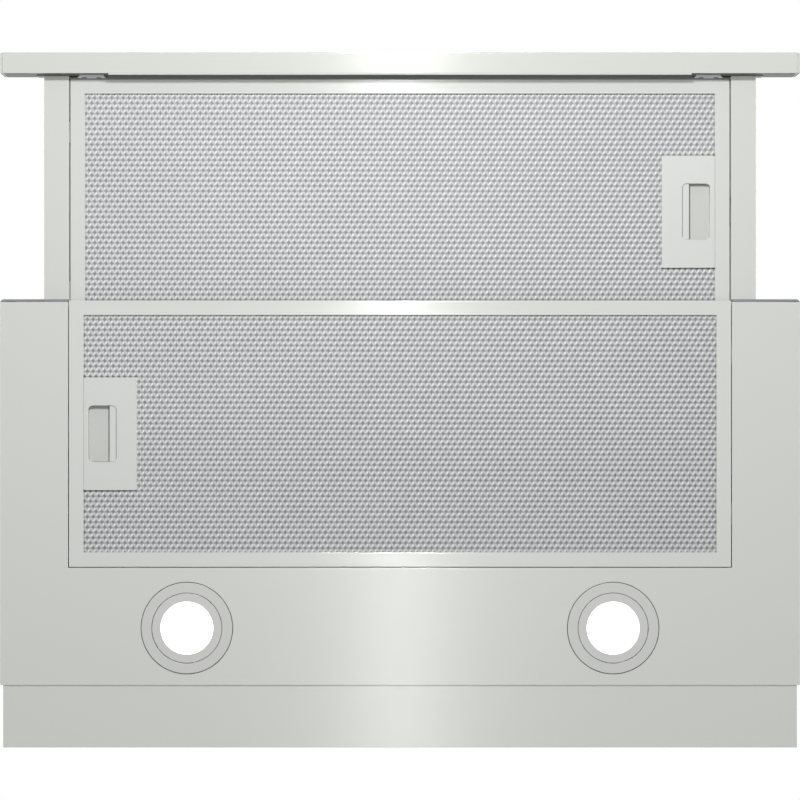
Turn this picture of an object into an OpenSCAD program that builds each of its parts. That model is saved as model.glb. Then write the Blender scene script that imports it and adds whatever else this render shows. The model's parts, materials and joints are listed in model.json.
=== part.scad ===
// Telescopic range hood for a 600 mm wall cabinet, seen and measured in millimetres.
// +Z is up, +Y points to the wall and the drawer slides out towards -Y.
// The origin lies in the cabinet's floor plane, midway between the four fixing holes.
// The pieces stand with the drawer pulled out; drawer pieces are drawn closed and then moved.

/* [Lower case] */
// Width of the hood across the cabinet opening
hood_w = 598; // [585:1:640]
// Depth of the lower case
case_d = 286.4; // [284:0.2:310]
// Height of the lower case below the cabinet floor
case_h = 41; // [40:0.5:50]
// Thickness of the case sheets
sheet_t = 1; // [0.8:0.1:1.2]
// Distance of the cabinet fixing holes from the side edges
fix_inset = 15; // [13:0.5:16]
// Spacing of the cabinet fixing holes from front to back
fix_pitch_y = 200; // [160:5:220]
// Radius of the cabinet fixing holes
fix_hole_r = 2.75; // [2.25:0.25:3.25]
// Room that the slide brackets leave around the cabinet screws
fix_room = 2; // [1.5:0.5:4]
// Width of the rim that the top plate keeps around its air opening
rim_w = 12; // [10:1:20]
// Depth of the bottom plate behind the rear cassette, where the lamps are
lamp_zone_d = 87.7; // [85:0.1:100]
// Height of the fold that stiffens the bottom plate behind the rear cassette
cut_fold_h = 6; // [4:0.5:7]
// Depth of the filler strip behind the case
strip_d = 46.8; // [30:0.2:80]
// Distance of the filler strip's ends from the side edges
strip_inset = 2.2; // [0.5:0.1:6]
// Height of the filler strip's underside above the bottom plate's
strip_rise = 1.5; // [1:0.5:12]
// Spacing of the filler strip's screws
strip_screw_pitch = 150; // [120:5:160]

/* [Front end caps] */
// Distance that the grey end caps stand out in front of the case
cap_t = 2; // [1.5:0.1:3]
// Gap between the caps' lower band and the drawer above it
cap_band_gap = 1.4; // [1:0.1:4]
// Gap between the caps and the cutout of the bottom plate
cap_cut_gap = 0.4; // [0.2:0.1:1]
// Setback of the caps from the side edges
cap_setback = 0.1; // [0:0.1:1]
// Bevel of the caps' outer ends
cap_bevel = 1.8; // [0.5:0.1:2]

/* [Filter cassettes] */
// Room beside a cassette for the drawer's profile, its slide and the case's wall
side_room = 51.4; // [49:0.2:70]
// Thickness of a cassette
cas_h = 9; // [8.6:0.2:10]
// Thickness of the cassette frame's sheet
cas_t = 0.8; // [0.6:0.1:1]
// Visible border of the cassette frame
cas_border = 11; // [9:0.5:14]
// Border of the cassette frame on its upper side
cas_lip = 8; // [6:0.5:10]
// Gap between the rear cassette and the edge of the bottom plate
cas_gap = 0.5; // [0.4:0.1:1]
// Distance that the rear cassette stands out in front of the case
cas_ahead = 1; // [0.2:0.1:1.4]
// Gap between the handle plate and the cassette's border
grip_gap = 0.1; // [0.1:0.1:0.5]
// Thickness of the expanded metal's outer layers
mesh_t = 0.5; // [0.4:0.1:0.8]
// Length of the handle plate, along X
grip_w = 39.8; // [36:0.2:48]
// Width of the handle plate, along Y
grip_d = 84.3; // [70:0.2:100]
// Length of the finger recess, along X
recess_w = 20.8; // [18:0.2:22]
// Width of the finger recess, along Y
recess_d = 42.2; // [36:0.2:48]
// Distance of the recess from the handle plate's outer end
recess_inset = 3.7; // [3:0.1:6]
// Thickness of the walls that guide the latch slider
grip_wall = 1; // [0.8:0.1:1.2]
// Thickness of the latch slider
slider_t = 1; // [0.8:0.1:1.2]
// Distance of the latch slider's underside below the cassette's top
slider_drop = 3.7; // [3.4:0.1:4]
// Gap between the slider's finger lip and its stop, at full travel
stop_gap = 1; // [0.6:0.1:1.5]
// Width of the plate that pushes the latch spring
pusher_w = 8; // [6:0.5:12]
// Width of the latch slider's finger lip
lip_w = 5.2; // [4:0.2:6]
// Travel of the latch slider
latch_travel = 3.5; // [2:0.5:3.5]
// Width of the latch tongue
tongue_w = 18; // [12:1:24]
// Thickness of the latch tongue
tongue_t = 1.2; // [1:0.1:1.4]
// Height of the slots that the latch tongue passes
tongue_slot_h = 2; // [1.8:0.1:2.4]
// Radius of the latch spring
spring_r = 1.5; // [1.2:0.1:1.6]
// Wall thickness of the latch spring
spring_t = 0.4; // [0.3:0.05:0.5]
// Height of the latch spring's axis above the bottom plate's sheet
spring_rise = 2.2; // [2:0.1:2.4]
// Width of a hook tab
tab_w = 16; // [12:1:20]
// Spacing of the two hook tabs
tab_pitch = 120; // [80:5:150]
// Distance that a hook tab reaches past the frame
tab_reach = 6.4; // [5.6:0.2:6.4]
// Thickness of a hook tab
tab_t = 1.2; // [1:0.1:1.4]
// Height of a hook tab above the bottom plate's sheet
tab_lift = 2.15; // [1.9:0.05:2.4]

/* [Drawer] */
// Travel of the drawer
travel = 168.6; // [140:0.2:175]
// Thickness of the front panel, from front to back
panel_d = 15.6; // [14:0.2:20]
// Height of the front panel
panel_h = 41; // [40:0.5:46]
// Sheet thickness of the front panel
panel_t = 1; // [0.8:0.1:1.2]
// Thickness of the panel's end caps
panel_cap_t = 1.5; // [1:0.1:3]
// Rise of the drawer's underside above the case's bottom plane
drawer_rise = 14; // [13.4:0.2:15]
// Height of the drawer's side profiles
side_h = 20; // [19:0.5:22]
// Width of the drawer's side profiles
side_w = 18.7; // [18.2:0.1:20]
// Wall thickness of the drawer's profiles and bars
side_t = 1; // [0.8:0.1:1.2]
// Distance of the slide's rib below the profile's top
rib_drop = 2; // [1:0.5:3]
// Gap between the front cassette and the side profiles
side_gap = 0.8; // [0.6:0.1:1]
// Distance of the side profiles' rear ends from the case's rear
side_short = 8.4; // [6:0.2:14]
// Distance from the panel's rear face to the front cassette
cas_back = 3.2; // [3:0.1:4]
// Overhang of the front bar past the side profiles
bar_over = 5.5; // [3:0.5:8]
// Depth of the front bar's lip under the cover
bar_lip_d = 0.9; // [0.5:0.1:1.2]
// Gap between the front bar's lip and the panel brackets
bar_lip_gap = 1.5; // [1:0.5:4]
// Depth of the rear bar
rear_bar_d = 5.7; // [4:0.1:6]
// Height of the rear bar
rear_bar_h = 11; // [8:0.5:11]
// Height of the fold at the rear end of the drawer's cover
cover_fold_h = 4; // [3:0.5:7]
// Width of a panel bracket
bracket_w = 20.8; // [16:0.2:26]
// Gap between a panel bracket and the drawer's side profile
bracket_gap = 6.5; // [4:0.5:30]
// Thickness of a panel bracket
bracket_t = 1; // [0.8:0.1:1.2]
// Height of the folds at a panel bracket's edges
bracket_fold = 0.6; // [0.4:0.1:1]
// Width of the notch in a panel bracket's lower edge
notch_w = 9; // [6:0.5:12]
// Height of the notch in a panel bracket's lower edge
notch_h = 1.2; // [0.8:0.1:2]
// Distance of the panel's screws below the drawer's top
panel_screw_drop = 4.4; // [4.2:0.1:8]
// Length of the plugs of the panel's end caps
plug_l = 6; // [4:0.5:10]

/* [Keys] */
// Width of a key
key_w = 14; // [10:0.5:18]
// Height of a key
key_h = 7; // [5:0.5:10]
// Centre distance of neighbouring keys
key_pitch = 22; // [21:0.5:28]
// Distance of the last key from the panel's end
key_inset = 92; // [88:1:130]
// Stroke of a key
key_stroke = 1.2; // [0.6:0.1:1.5]
// Radius of a key's stem
key_stem_r = 2; // [1.5:0.1:2.5]
// Length of a key's stem
key_stem_l = 7; // [5:0.5:7.5]
// Length of a key's cap
key_l = 3.6; // [3:0.1:4]
// Setback of a key's face in the panel
key_setback = 0.2; // [0.1:0.1:0.5]
// Width of the rim that keeps a key in the panel
key_rim = 1.2; // [1:0.1:1.6]
// Height of the switch module
module_h = 18; // [14:1:24]
// Distance that the switch module reaches past the outer keys
module_edge = 4; // [2:0.5:8]

/* [Ball slides] */
// Height of a slide's outer rail
slide_h = 17; // [16:0.2:17]
// Thickness of the rails
rail_t = 1.2; // [1:0.1:1.3]
// Width of a slide, from the drawer's rib to the outer rail's back
slide_w = 10.8; // [10.6:0.1:12]
// Gap between a slide and the profile's foot flange
slide_lift = 1; // [0.6:0.1:1.2]
// Gap between the drawer's rib and the outer rail's lips, past the inner rail's web
rail_gap = 1; // [0.6:0.1:1.2]
// Distance of the outer rails' front ends from the case's front
outer_rail_inset = 1; // [0.5:0.5:3]
// Distance that the outer rails reach past the closed profiles' rear ends
rail_over = 1.2; // [1:0.1:3]
// Distance of the inner rails' front ends from the case's front
inner_rail_inset = 12; // [8:1:30]
// Distance of the inner rails' rear ends from the profiles' rear ends
inner_rail_short = 6; // [4:1:30]
// Depth of the inner rails
inner_rail_d = 6.2; // [6:0.1:6.6]
// Height of the slide brackets' lip on the case's wall
bracket_lip_h = 8; // [5:0.5:10]
// Diameter of the balls
ball_d = 2.2; // [2:0.1:2.4]
// Balls in each row
ball_count = 5; // [3:1:7]
// Length of the ball cages
cage_l = 92; // [80:1:96]
// Thickness of the ball cages
cage_t = 0.6; // [0.4:0.1:0.8]
// Distance of the closed drawer's ball cages from the outer rails' front ends
cage_inset = 5; // [2:1:10]
// Distance of the balls' centres from the inner rail's web
ball_offset = 3; // [2.8:0.1:3.2]
// Distance of the ball cage's edge from the balls' centres
cage_edge = 1.4; // [1.3:0.1:1.6]
// Gap between the ball cage and the outer rail's back
cage_gap = 1.6; // [1:0.1:1.8]

/* [Lamps] */
// Distance between the two lamps
lamp_pitch = 318.6; // [260:0.2:360]
// Gap between the closed drawer and the lamps' trims
lamp_gap = 2.2; // [1:0.1:4]
// Radius of a lamp's outer trim
lamp_trim_r = 35; // [33:0.5:36]
// Radius of a lamp's inner ring
lamp_ring_r = 26.5; // [25:0.5:28]
// Radius of a lamp's lens
lamp_lens_r = 20; // [16:0.5:22]
// Width of the trim's collar around the inner ring
lamp_collar_w = 4; // [3:0.5:6]
// Height of the trim's collar above the bottom plate's underside
lamp_collar_h = 6; // [4:0.5:8]
// Height of a lamp's inner ring
lamp_ring_h = 5; // [4:0.5:8]
// Depth of the dish in a lamp's inner ring
lamp_dish = 1.2; // [0.8:0.1:1.6]
// Step between the trim and the inner ring
lamp_step = 0.2; // [0.1:0.1:0.5]
// Height of a lamp's lens
lens_h = 4; // [3:0.5:6]
// Rise of the lens's dome
lens_dome = 0.8; // [0.4:0.1:0.9]
// Height of a lamp's can above the bottom plate
lamp_can_h = 26; // [20:1:28]
// Radius of the cooling holes in a lamp's can
can_hole_r = 3; // [2:0.5:4]
// Cooling holes in a lamp's can
can_hole_count = 6; // [4:1:8]
// Distance that the trim stands below the bottom plate
lamp_proud = 0.8; // [0.6:0.1:1.2]

/* [Upper housing] */
// Distance of the upper housing's side walls from the case's side edges
box_inset = 36; // [30:1:48]
// Distance of the upper housing's front wall from the case's front
box_front_inset = 9.2; // [6:0.2:20]
// Distance of the upper housing's rear wall from the case's rear
box_rear_inset = 1.2; // [0.8:0.1:3]
// Height of the upper housing above the cabinet floor
box_h = 162; // [158:1:190]
// Width of the upper housing's foot flanges, folded inwards
box_foot = 8; // [6:0.5:9]
// Spacing of the screws in the upper housing's foot flanges
foot_screw_pitch = 110; // [80:5:120]
// Rim of the top cover around the blower's outlet
outlet_rim = 4; // [2:0.5:6]

/* [Duct collar] */
// Outer radius of the duct collar
collar_r = 59.5; // [58:0.5:60]
// Height of the duct collar
collar_h = 38; // [34:1:50]
// Wall thickness of the duct collar
collar_t = 2; // [1.6:0.1:2.4]
// Radius of the collar's base flange
collar_base_r = 74; // [70:1:80]
// Thickness of the collar's base flange
collar_base_t = 2; // [1.6:0.1:2.4]
// Width of the ledge that the closed flaps lie over
ledge_w = 2.4; // [1.6:0.1:3]
// Thickness of the ledge
ledge_t = 1.6; // [1.2:0.1:2]
// Depth of the ledge's top below the flap pins
ledge_drop = 3.4; // [2.6:0.1:4]
// Height of the flap pins above the top cover
flap_rise = 14; // [10:1:18]
// Thickness of a non-return flap
flap_t = 1.2; // [1:0.1:1.6]
// Radius of the flap pins
flap_pin_r = 1; // [0.8:0.1:1.2]
// Distance of each flap pin from the collar's middle
flap_axis_x = 3; // [2.6:0.1:4]
// Wall thickness of the flaps' hinge sleeves
sleeve_wall = 0.9; // [0.7:0.1:1]
// Depth of the flap pins' seats in the collar's wall
pin_seat = 0.8; // [0.5:0.1:0.9]

/* [Blower] */
// Outer radius of the impeller
fan_r = 56; // [50:0.5:57]
// Half length of the impeller
fan_half = 51; // [46:0.5:52]
// Thickness of the impeller's middle disc
disc_t = 2; // [1.6:0.1:3]
// Thickness of the impeller's end rings
ring_t = 2; // [1.6:0.1:3]
// Radial width of the impeller's end rings
ring_w = 5; // [4:0.5:8]
// Radius of the impeller's hub
hub_r = 12; // [8:0.5:16]
// Length of the impeller's hub
hub_l = 10; // [6:1:14]
// Radial depth of the impeller's blades
blade_d = 10; // [8:0.5:11]
// Thickness of a blade
blade_t = 1; // [0.8:0.1:1.4]
// Angle between a blade and the radius
blade_angle = 25; // [15:1:35]
// Blades around the impeller
blade_count = 30; // [24:1:36]
// Gap between the impeller and the scroll's tongue
tongue_gap = 4; // [3:0.5:6]
// Growth of the scroll's radius for each degree
scroll_growth = 0.0875; // [0.06:0.0025:0.0925]
// Wall thickness of the blower case
scroll_t = 2; // [1.6:0.1:2.4]
// Gap between the impeller's ends and the blower case
fan_end_gap = 6; // [3:0.5:8]
// Gap between the outlet's bore and the front and rear walls of the blower's duct
outlet_gap = 1.2; // [1:0.1:4]
// Width of the blower case's outlet flange
flange_w = 7; // [5:0.5:10]
// Thickness of the blower case's outlet flange
flange_t = 3; // [2:0.5:4]
// Step from the blades' inner ends to the inlet nozzles' bore
nozzle_step = 3; // [2:0.5:5]
// Radial width of the inlet nozzles' rims
nozzle_rim = 6; // [5:0.5:8]
// Length of the inlet nozzles outside the blower case
nozzle_l = 5; // [4.5:0.5:8]
// Flare of the inlet nozzles
nozzle_flare = 4; // [2:0.5:4.5]
// Height of the fan shaft below the housing's top
fan_drop = 78; // [76:0.5:80]
// Distance of the duct collar's centre from the origin, towards the wall
collar_y = 10; // [0:1:20]
// Radius of the motor
motor_r = 35; // [30:0.5:36]
// Radius of the motor's nose
nose_r = 17.5; // [12:0.5:20]
// Length of the motor's nose
nose_l = 3; // [2:0.5:5]
// Gap between the impeller's hub and the motor's nose
nose_gap = 1; // [0.5:0.1:2]
// Radius of the fan shaft
shaft_r = 4; // [3:0.5:5]
// Length of the fan shaft from the impeller's middle into the motor
shaft_l = 28; // [20:1:40]
// Length of the fan shaft past the impeller's middle, away from the motor
shaft_stub_l = 8; // [6:1:12]
// Thickness of the motor bracket
arm_t = 2.5; // [2:0.1:3]
// Width of the motor bracket's arms
arm_w = 10; // [8:0.5:16]
// Radius of the motor bracket's middle plate
arm_hub_r = 24.5; // [20:0.5:30]
// Gap between the inlet nozzle and the motor bracket
arm_gap = 2; // [1:0.5:4]
// Radius of the motor bracket's posts
post_r = 4; // [3:0.5:5]

/* [Electrics] */
// Length of the control box, from front to back
control_d = 120; // [90:1:140]
// Width of the control box
control_w = 52; // [40:1:64]
// Height of the control box
control_h = 84; // [60:1:110]
// Wall thickness of the control box
control_wall = 2; // [1.5:0.1:3]
// Width of the cable slot in the control box's top
control_slot_d = 20; // [12:1:30]
// Height of the control box above the cabinet floor
control_rise = 30; // [20:1:40]
// Distance of the control box from the housing's front wall
control_inset = 30; // [20:1:50]
// Distance of the cable gland from the housing's left wall
gland_inset_x = 60; // [50:1:100]
// Distance of the cable gland from the housing's rear wall
gland_inset_y = 40; // [30:1:60]
// Wall thickness of the cable gland
gland_wall = 3; // [2:0.5:4]
// Width of the cable gland's flange
gland_flange_w = 4; // [3:0.5:6]
// Length of the cable gland above and below the top cover's upper face
gland_h = 10; // [8:1:14]
// Radius of the cable gland's bore
gland_bore_r = 4.5; // [3.5:0.5:5.5]
// Length of the lamp driver
driver_w = 96; // [70:1:120]
// Depth of the lamp driver
driver_d = 42; // [36:1:60]
// Height of the lamp driver
driver_h = 24; // [18:1:28]
// Size of the terminal notches in the lamp driver's ends
driver_notch = 6; // [4:0.5:10]
// Distance of the lamp driver's middle behind the lamps' middles
driver_back = 4; // [0:1:10]

/* [Clearances] */
// Gap between surfaces that slide past each other
slip = 0.3; // [0.2:0.05:0.35]
// Radial play of round pieces that turn or slide in a bore
play = 0.05; // [0.03:0.01:0.08]
// Radius of the fixing screws' shanks
screw_r = 1.6; // [1.4:0.1:1.8]
// Radius of the fixing screws' heads
screw_head_r = 3; // [2.6:0.1:3.2]
// Height of the fixing screws' heads
screw_head_h = 2; // [1.6:0.1:2.4]
// Length of the screws in the upper housing's foot
foot_screw_l = 4; // [3:0.5:5]
// Length of the filler strip's and the front panel's screws
plate_screw_l = 5; // [4:0.5:6]

/* [Hidden] */
$fn = 64;
through = 1;
front_y = -case_d / 2;
rear_y = case_d / 2;
bottom_z = -case_h;
half_w = hood_w / 2;
fix_x = half_w - fix_inset;
back_x = half_w - sheet_t;

// Rear cassette and the bottom plate's cutout
cas_w = hood_w - 2 * side_room;
cas_d = case_d - lamp_zone_d + cas_ahead - cas_gap;
rear_cas_y = front_y - cas_ahead + cas_d / 2;
cut_x = cas_w / 2 + cas_gap;
cut_y = front_y - cas_ahead + cas_d + cas_gap;

// Closed drawer, from the panel's front to its rear bar
panel_back_y = front_y - cap_t - slip;
panel_front_y = panel_back_y - panel_d;
bar_y = panel_back_y + side_t;
front_cas_y = panel_back_y + cas_back + cas_d / 2;
rear_bar_y = panel_back_y + cas_back + cas_d + side_gap;
drawer_end_y = rear_bar_y + rear_bar_d;
side_end_y = rear_y - side_short;
drawer_z = bottom_z + drawer_rise;
drawer_top_z = drawer_z + side_h;
cas_lift = drawer_rise + 2 * side_t;
side_x = cas_w / 2 + side_gap;
side_out_x = side_x + side_w;
rib_x = cas_w / 2 + tab_reach + 2 * slip;
bar_x = side_out_x + bar_over;
bracket_x = side_x - bracket_gap - bracket_w / 2;
screw_z = drawer_top_z - panel_screw_drop;
key_z = bottom_z + panel_h / 2;

// Ball slides, measured from the drawer's rib outwards
slide_x = rib_x + side_t;
slide_back_x = slide_x + slide_w;
slide_z = drawer_z + side_t + slide_lift + slide_h / 2;
ball_z = slide_h / 2 - rail_t - play - ball_d / 2;
ball_x = slide_x + rail_t + ball_offset;
inner_flange = ball_z - ball_d / 2 - play;
outer_rail_y = front_y + outer_rail_inset;
outer_rail_end_y = side_end_y + rail_over;
inner_rail_y = front_y + inner_rail_inset;
inner_rail_end_y = side_end_y - inner_rail_short;
cage_y = outer_rail_y + cage_inset;
ball_pitch = cage_l / ball_count;

// Lamps behind the closed drawer
lamp_y = drawer_end_y + lamp_gap + lamp_trim_r;
lamp_hole_r = lamp_ring_r + lamp_collar_w;

// Handle plate, latch and hook tabs, in the cassette's own place
tab_z = sheet_t + tab_lift;
grip_x = -cas_w / 2 + cas_border + grip_gap;
recess_x = grip_x + recess_inset;
recess_end_x = recess_x + recess_w;
slider_z = cas_h - slider_drop;
stop_x = recess_end_x + latch_travel + stop_gap;
push_x = stop_x + grip_wall + stop_gap;
spring_x = push_x + slider_t;
spring_end_x = grip_x + grip_w - grip_wall;
spring_z = sheet_t + spring_rise;

// Upper housing, flush with the case's rear but for a small setback
box_rear_y = rear_y - box_rear_inset;
box_front_y = front_y + box_front_inset;
box_half = half_w - box_inset;
box_foot_x = box_half - sheet_t - box_foot;
cover_z = box_h - sheet_t;
gland_x = -box_half + gland_inset_x;
gland_y = box_rear_y - gland_inset_y;
gland_neck_r = gland_bore_r + gland_wall;

// Blower and duct collar
fan_z = box_h - fan_drop;
scroll_half = fan_half + fan_end_gap + scroll_t;
scroll_start = 20;
scroll_end = 270;
scroll_step = 10;
tongue_r = fan_r + tongue_gap;
duct_front_y = -tongue_r * sin(scroll_start);
duct_rear_y = tongue_r + scroll_growth * (scroll_end - scroll_start);
scroll_top = cover_z - fan_z;
fan_y = collar_y - (duct_front_y + duct_rear_y) / 2;
outlet_r = (duct_rear_y - duct_front_y) / 2 - outlet_gap;
nozzle_r = fan_r - blade_d - nozzle_step;
nose_x = hub_l / 2 + nose_gap;
arm_x = scroll_half + nozzle_l + arm_gap;
flap_z = box_h + flap_rise;
bore_r = collar_r - collar_t;
pin_half = sqrt(bore_r * bore_r - flap_axis_x * flap_axis_x) + pin_seat;

steel = [0.82, 0.83, 0.8];
zinc = [0.68, 0.68, 0.72];
grey_plastic = [0.55, 0.55, 0.57];
dark_plastic = [0.2, 0.2, 0.22];
mesh_metal = [0.72, 0.72, 0.72];

// A block between two opposite corners
module block(low, high) {
    translate(low) cube(high - low);
}

// The right-hand piece as it is, or mirrored for the left
module on_side(side) {
    if (side < 0) mirror([1, 0, 0]) children();
    else children();
}

// Moves a piece of the closed drawer to where the open drawer stands
module pulled_out() {
    translate([0, -travel, 0]) children();
}

// A cylinder along X from x1 to x2, centred on y and z
module rod_x(x1, x2, y, z, r) {
    translate([x1, y, z]) rotate([0, 90, 0]) cylinder(h = x2 - x1, r = r);
}

// A cylinder along Y from y1 to y2, centred on x and z
module rod_y(y1, y2, x, z, r) {
    translate([x, y1, z]) rotate([-90, 0, 0]) cylinder(h = y2 - y1, r = r);
}

// A pan head screw, its head upwards and its seat at z = 0
module pan_screw(shank) {
    cylinder(h = screw_head_h, r = screw_head_r);
    translate([0, 0, -shank]) cylinder(h = shank + screw_head_h / 2, r = screw_r);
}

// Top plate of the lower case, with its air opening and the cabinet fixing holes
module case_top() {
    opening_x = box_half - rim_w;
    color(zinc) difference() {
        block([-half_w, front_y, -sheet_t], [half_w, rear_y, 0]);
        block([-opening_x, box_front_y + rim_w, -sheet_t - through],
              [opening_x, cut_y, through]);
        for (x = [-fix_x, fix_x], y = [-fix_pitch_y / 2, fix_pitch_y / 2])
            translate([x, y, -sheet_t - through])
                cylinder(h = sheet_t + 2 * through, r = fix_hole_r);
        for (place = foot_screws())
            translate([place.x, place.y, -sheet_t - through])
                cylinder(h = sheet_t + 2 * through, r = screw_r + play);
    }
}

// Places of the screws that hold the upper housing's foot on the top plate
function foot_screws() = [
    for (side = [-1, 1], i = [-1:1])
        [side * (box_foot_x + box_foot / 2), (box_front_y + box_rear_y) / 2 + i * foot_screw_pitch]
];

// Places of the screws that hold the filler strip on the case's rear wall
function strip_screws() = [for (i = [-1.5:1:1.5]) i * strip_screw_pitch];

// Bottom plate with its folded walls, open at the front for the rear cassette
module bottom_plate() {
    color(steel) difference() {
        union() {
            difference() {
                block([-half_w, front_y, bottom_z], [half_w, rear_y, -sheet_t]);
                block([-back_x, front_y - through, bottom_z + sheet_t],
                      [back_x, rear_y - sheet_t, through]);
            }
            block([-cut_x, cut_y, bottom_z], [cut_x, cut_y + sheet_t, bottom_z + cut_fold_h]);
        }
        block([-cut_x, front_y - through, bottom_z - through], [cut_x, cut_y, bottom_z + cut_fold_h]);
        for (x = [-lamp_pitch / 2, lamp_pitch / 2])
            translate([x, lamp_y, bottom_z - through])
                cylinder(h = sheet_t + 2 * through, r = lamp_hole_r + slip);
        for (x = strip_screws())
            rod_y(rear_y - sheet_t - through, rear_y + through, x, bottom_z + case_h / 2,
                  screw_r + play);
    }
}

// Outline of an end cap from above, with its bevelled outer end
module cap_outline(inner_x) {
    outer_x = half_w - cap_setback;
    polygon([
        [inner_x, front_y - cap_t], [outer_x - cap_bevel, front_y - cap_t],
        [outer_x, front_y - cap_t + cap_bevel], [outer_x, front_y], [inner_x, front_y]
    ]);
}

// Grey plastic cap on the front end of one side of the case
module front_cap(side) {
    color(grey_plastic) on_side(side) translate([0, 0, bottom_z]) {
        linear_extrude(drawer_rise - cap_band_gap) cap_outline(cut_x + cap_cut_gap);
        linear_extrude(case_h - sheet_t) cap_outline(bar_x + 2 * slip);
    }
}

// Upper housing: four walls and two foot flanges that are folded inwards
module upper_housing() {
    inner_x = box_half - sheet_t;
    color(zinc) difference() {
        block([-box_half, box_front_y, 0], [box_half, box_rear_y, cover_z]);
        block([-inner_x, box_front_y + sheet_t, sheet_t], [inner_x, box_rear_y - sheet_t, box_h]);
        block([-box_foot_x, box_front_y + sheet_t, -through],
              [box_foot_x, box_rear_y - sheet_t, box_h]);
        for (place = foot_screws())
            translate([place.x, place.y, -through])
                cylinder(h = sheet_t + 2 * through, r = screw_r + play);
    }
}

// Cover of the upper housing, with the holes for the duct and the cable gland
module top_cover() {
    color(zinc) difference() {
        block([-box_half, box_front_y, cover_z], [box_half, box_rear_y, box_h]);
        translate([0, collar_y, cover_z - through])
            cylinder(h = sheet_t + 2 * through, r = outlet_r + outlet_rim);
        translate([gland_x, gland_y, cover_z - through])
            cylinder(h = sheet_t + 2 * through, r = gland_neck_r + slip / 2);
    }
}

// Filler strip that closes the gap between the case and the wall
module rear_strip() {
    low_z = bottom_z + strip_rise;
    strip_x = half_w - strip_inset;
    color(steel) difference() {
        block([-strip_x, rear_y, low_z], [strip_x, rear_y + strip_d, -2 * sheet_t]);
        block([-strip_x - through, rear_y + sheet_t, low_z + sheet_t],
              [strip_x + through, rear_y + strip_d - sheet_t, through]);
        for (x = strip_screws())
            rod_y(rear_y - through, rear_y + sheet_t + through, x, bottom_z + case_h / 2,
                  screw_r + play);
    }
}

// Screws of the housing's foot and of the filler strip
module case_screws() {
    color(zinc) {
        for (place = foot_screws()) translate([place.x, place.y, sheet_t]) pan_screw(foot_screw_l);
        for (x = strip_screws())
            translate([x, rear_y + sheet_t, bottom_z + case_h / 2]) rotate([-90, 0, 0])
                pan_screw(plate_screw_l);
    }
}

// Folded bracket that carries an outer rail from the top plate and the side wall
module slide_bracket(side) {
    low_z = slide_z - slide_h / 2 - slip;
    top_z = -sheet_t;
    color(zinc) on_side(side) difference() {
        union() {
            block([slide_back_x, outer_rail_y, low_z],
                  [slide_back_x + rail_t, outer_rail_end_y, top_z]);
            block([slide_back_x, outer_rail_y, low_z], [back_x, outer_rail_end_y, low_z + rail_t]);
            block([slide_back_x, outer_rail_y, top_z - rail_t], [back_x, outer_rail_end_y, top_z]);
            block([back_x - rail_t, outer_rail_y, low_z - bracket_lip_h],
                  [back_x, outer_rail_end_y, low_z + rail_t]);
        }
        for (y = [-fix_pitch_y / 2, fix_pitch_y / 2])
            translate([fix_x, y, top_z - rail_t - through])
                cylinder(h = rail_t + 2 * through, r = fix_hole_r + fix_room);
    }
}

// Fixed rail of a ball slide, open towards the drawer
module outer_rail(side) {
    lip_x = slide_x + rail_t + rail_gap;
    color(zinc) on_side(side) difference() {
        block([lip_x, outer_rail_y, slide_z - slide_h / 2],
              [slide_back_x, outer_rail_end_y, slide_z + slide_h / 2]);
        block([lip_x - through, outer_rail_y - through, slide_z - slide_h / 2 + rail_t],
              [slide_back_x - rail_t, outer_rail_end_y + through,
               slide_z + slide_h / 2 - rail_t]);
    }
}

// Rail of a ball slide that the drawer carries
module inner_rail(side) {
    flange_x = slide_x + inner_rail_d;
    color(zinc) pulled_out() on_side(side) difference() {
        block([slide_x, inner_rail_y, slide_z - inner_flange],
              [flange_x, inner_rail_end_y, slide_z + inner_flange]);
        block([slide_x + rail_t, inner_rail_y - through, slide_z - inner_flange + rail_t],
              [flange_x + through, inner_rail_end_y + through, slide_z + inner_flange - rail_t]);
    }
}

// Ball cage with its two rows of balls, at half of the drawer's travel
module ball_cage(side) {
    edge = ball_z + cage_t / 2;
    near_x = ball_x - cage_edge;
    far_x = slide_back_x - rail_t - cage_gap;
    color(zinc) on_side(side) {
        difference() {
            block([near_x, cage_y, slide_z - edge], [far_x, cage_y + cage_l, slide_z + edge]);
            block([near_x - through, cage_y - through, slide_z - edge + cage_t],
                  [far_x - cage_t, cage_y + cage_l + through, slide_z + edge - cage_t]);
            for (i = [0:ball_count - 1])
                translate([ball_x, cage_y + (i + 0.5) * ball_pitch, slide_z - slide_h])
                    cylinder(h = 2 * slide_h, r = ball_d / 2 + play);
        }
        for (i = [0:ball_count - 1], z = [-ball_z, ball_z])
            translate([ball_x, cage_y + (i + 0.5) * ball_pitch, slide_z + z]) sphere(d = ball_d);
    }
}

// Place of one lamp
module at_lamp(side) {
    translate([side * lamp_pitch / 2, lamp_y, bottom_z]) children();
}

// Outer trim of a lamp, with a collar through the bottom plate
module lamp_trim(side) {
    inner = lamp_ring_r + slip / 2;
    color(steel) at_lamp(side) rotate_extrude() {
        translate([inner, -lamp_proud]) square([lamp_trim_r - inner, lamp_proud]);
        translate([inner, 0]) square([lamp_hole_r - inner, lamp_collar_h]);
    }
}

// Inner ring of a lamp, dished towards the lens
module lamp_ring(side) {
    inner = lamp_lens_r + slip / 2;
    color(steel) at_lamp(side) rotate_extrude()
        polygon([
            [inner, lamp_dish], [inner + lamp_dish / 2, lamp_dish / 2],
            [lamp_ring_r, -lamp_proud + lamp_step], [lamp_ring_r, lamp_ring_h], [inner, lamp_ring_h]
        ]);
}

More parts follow.
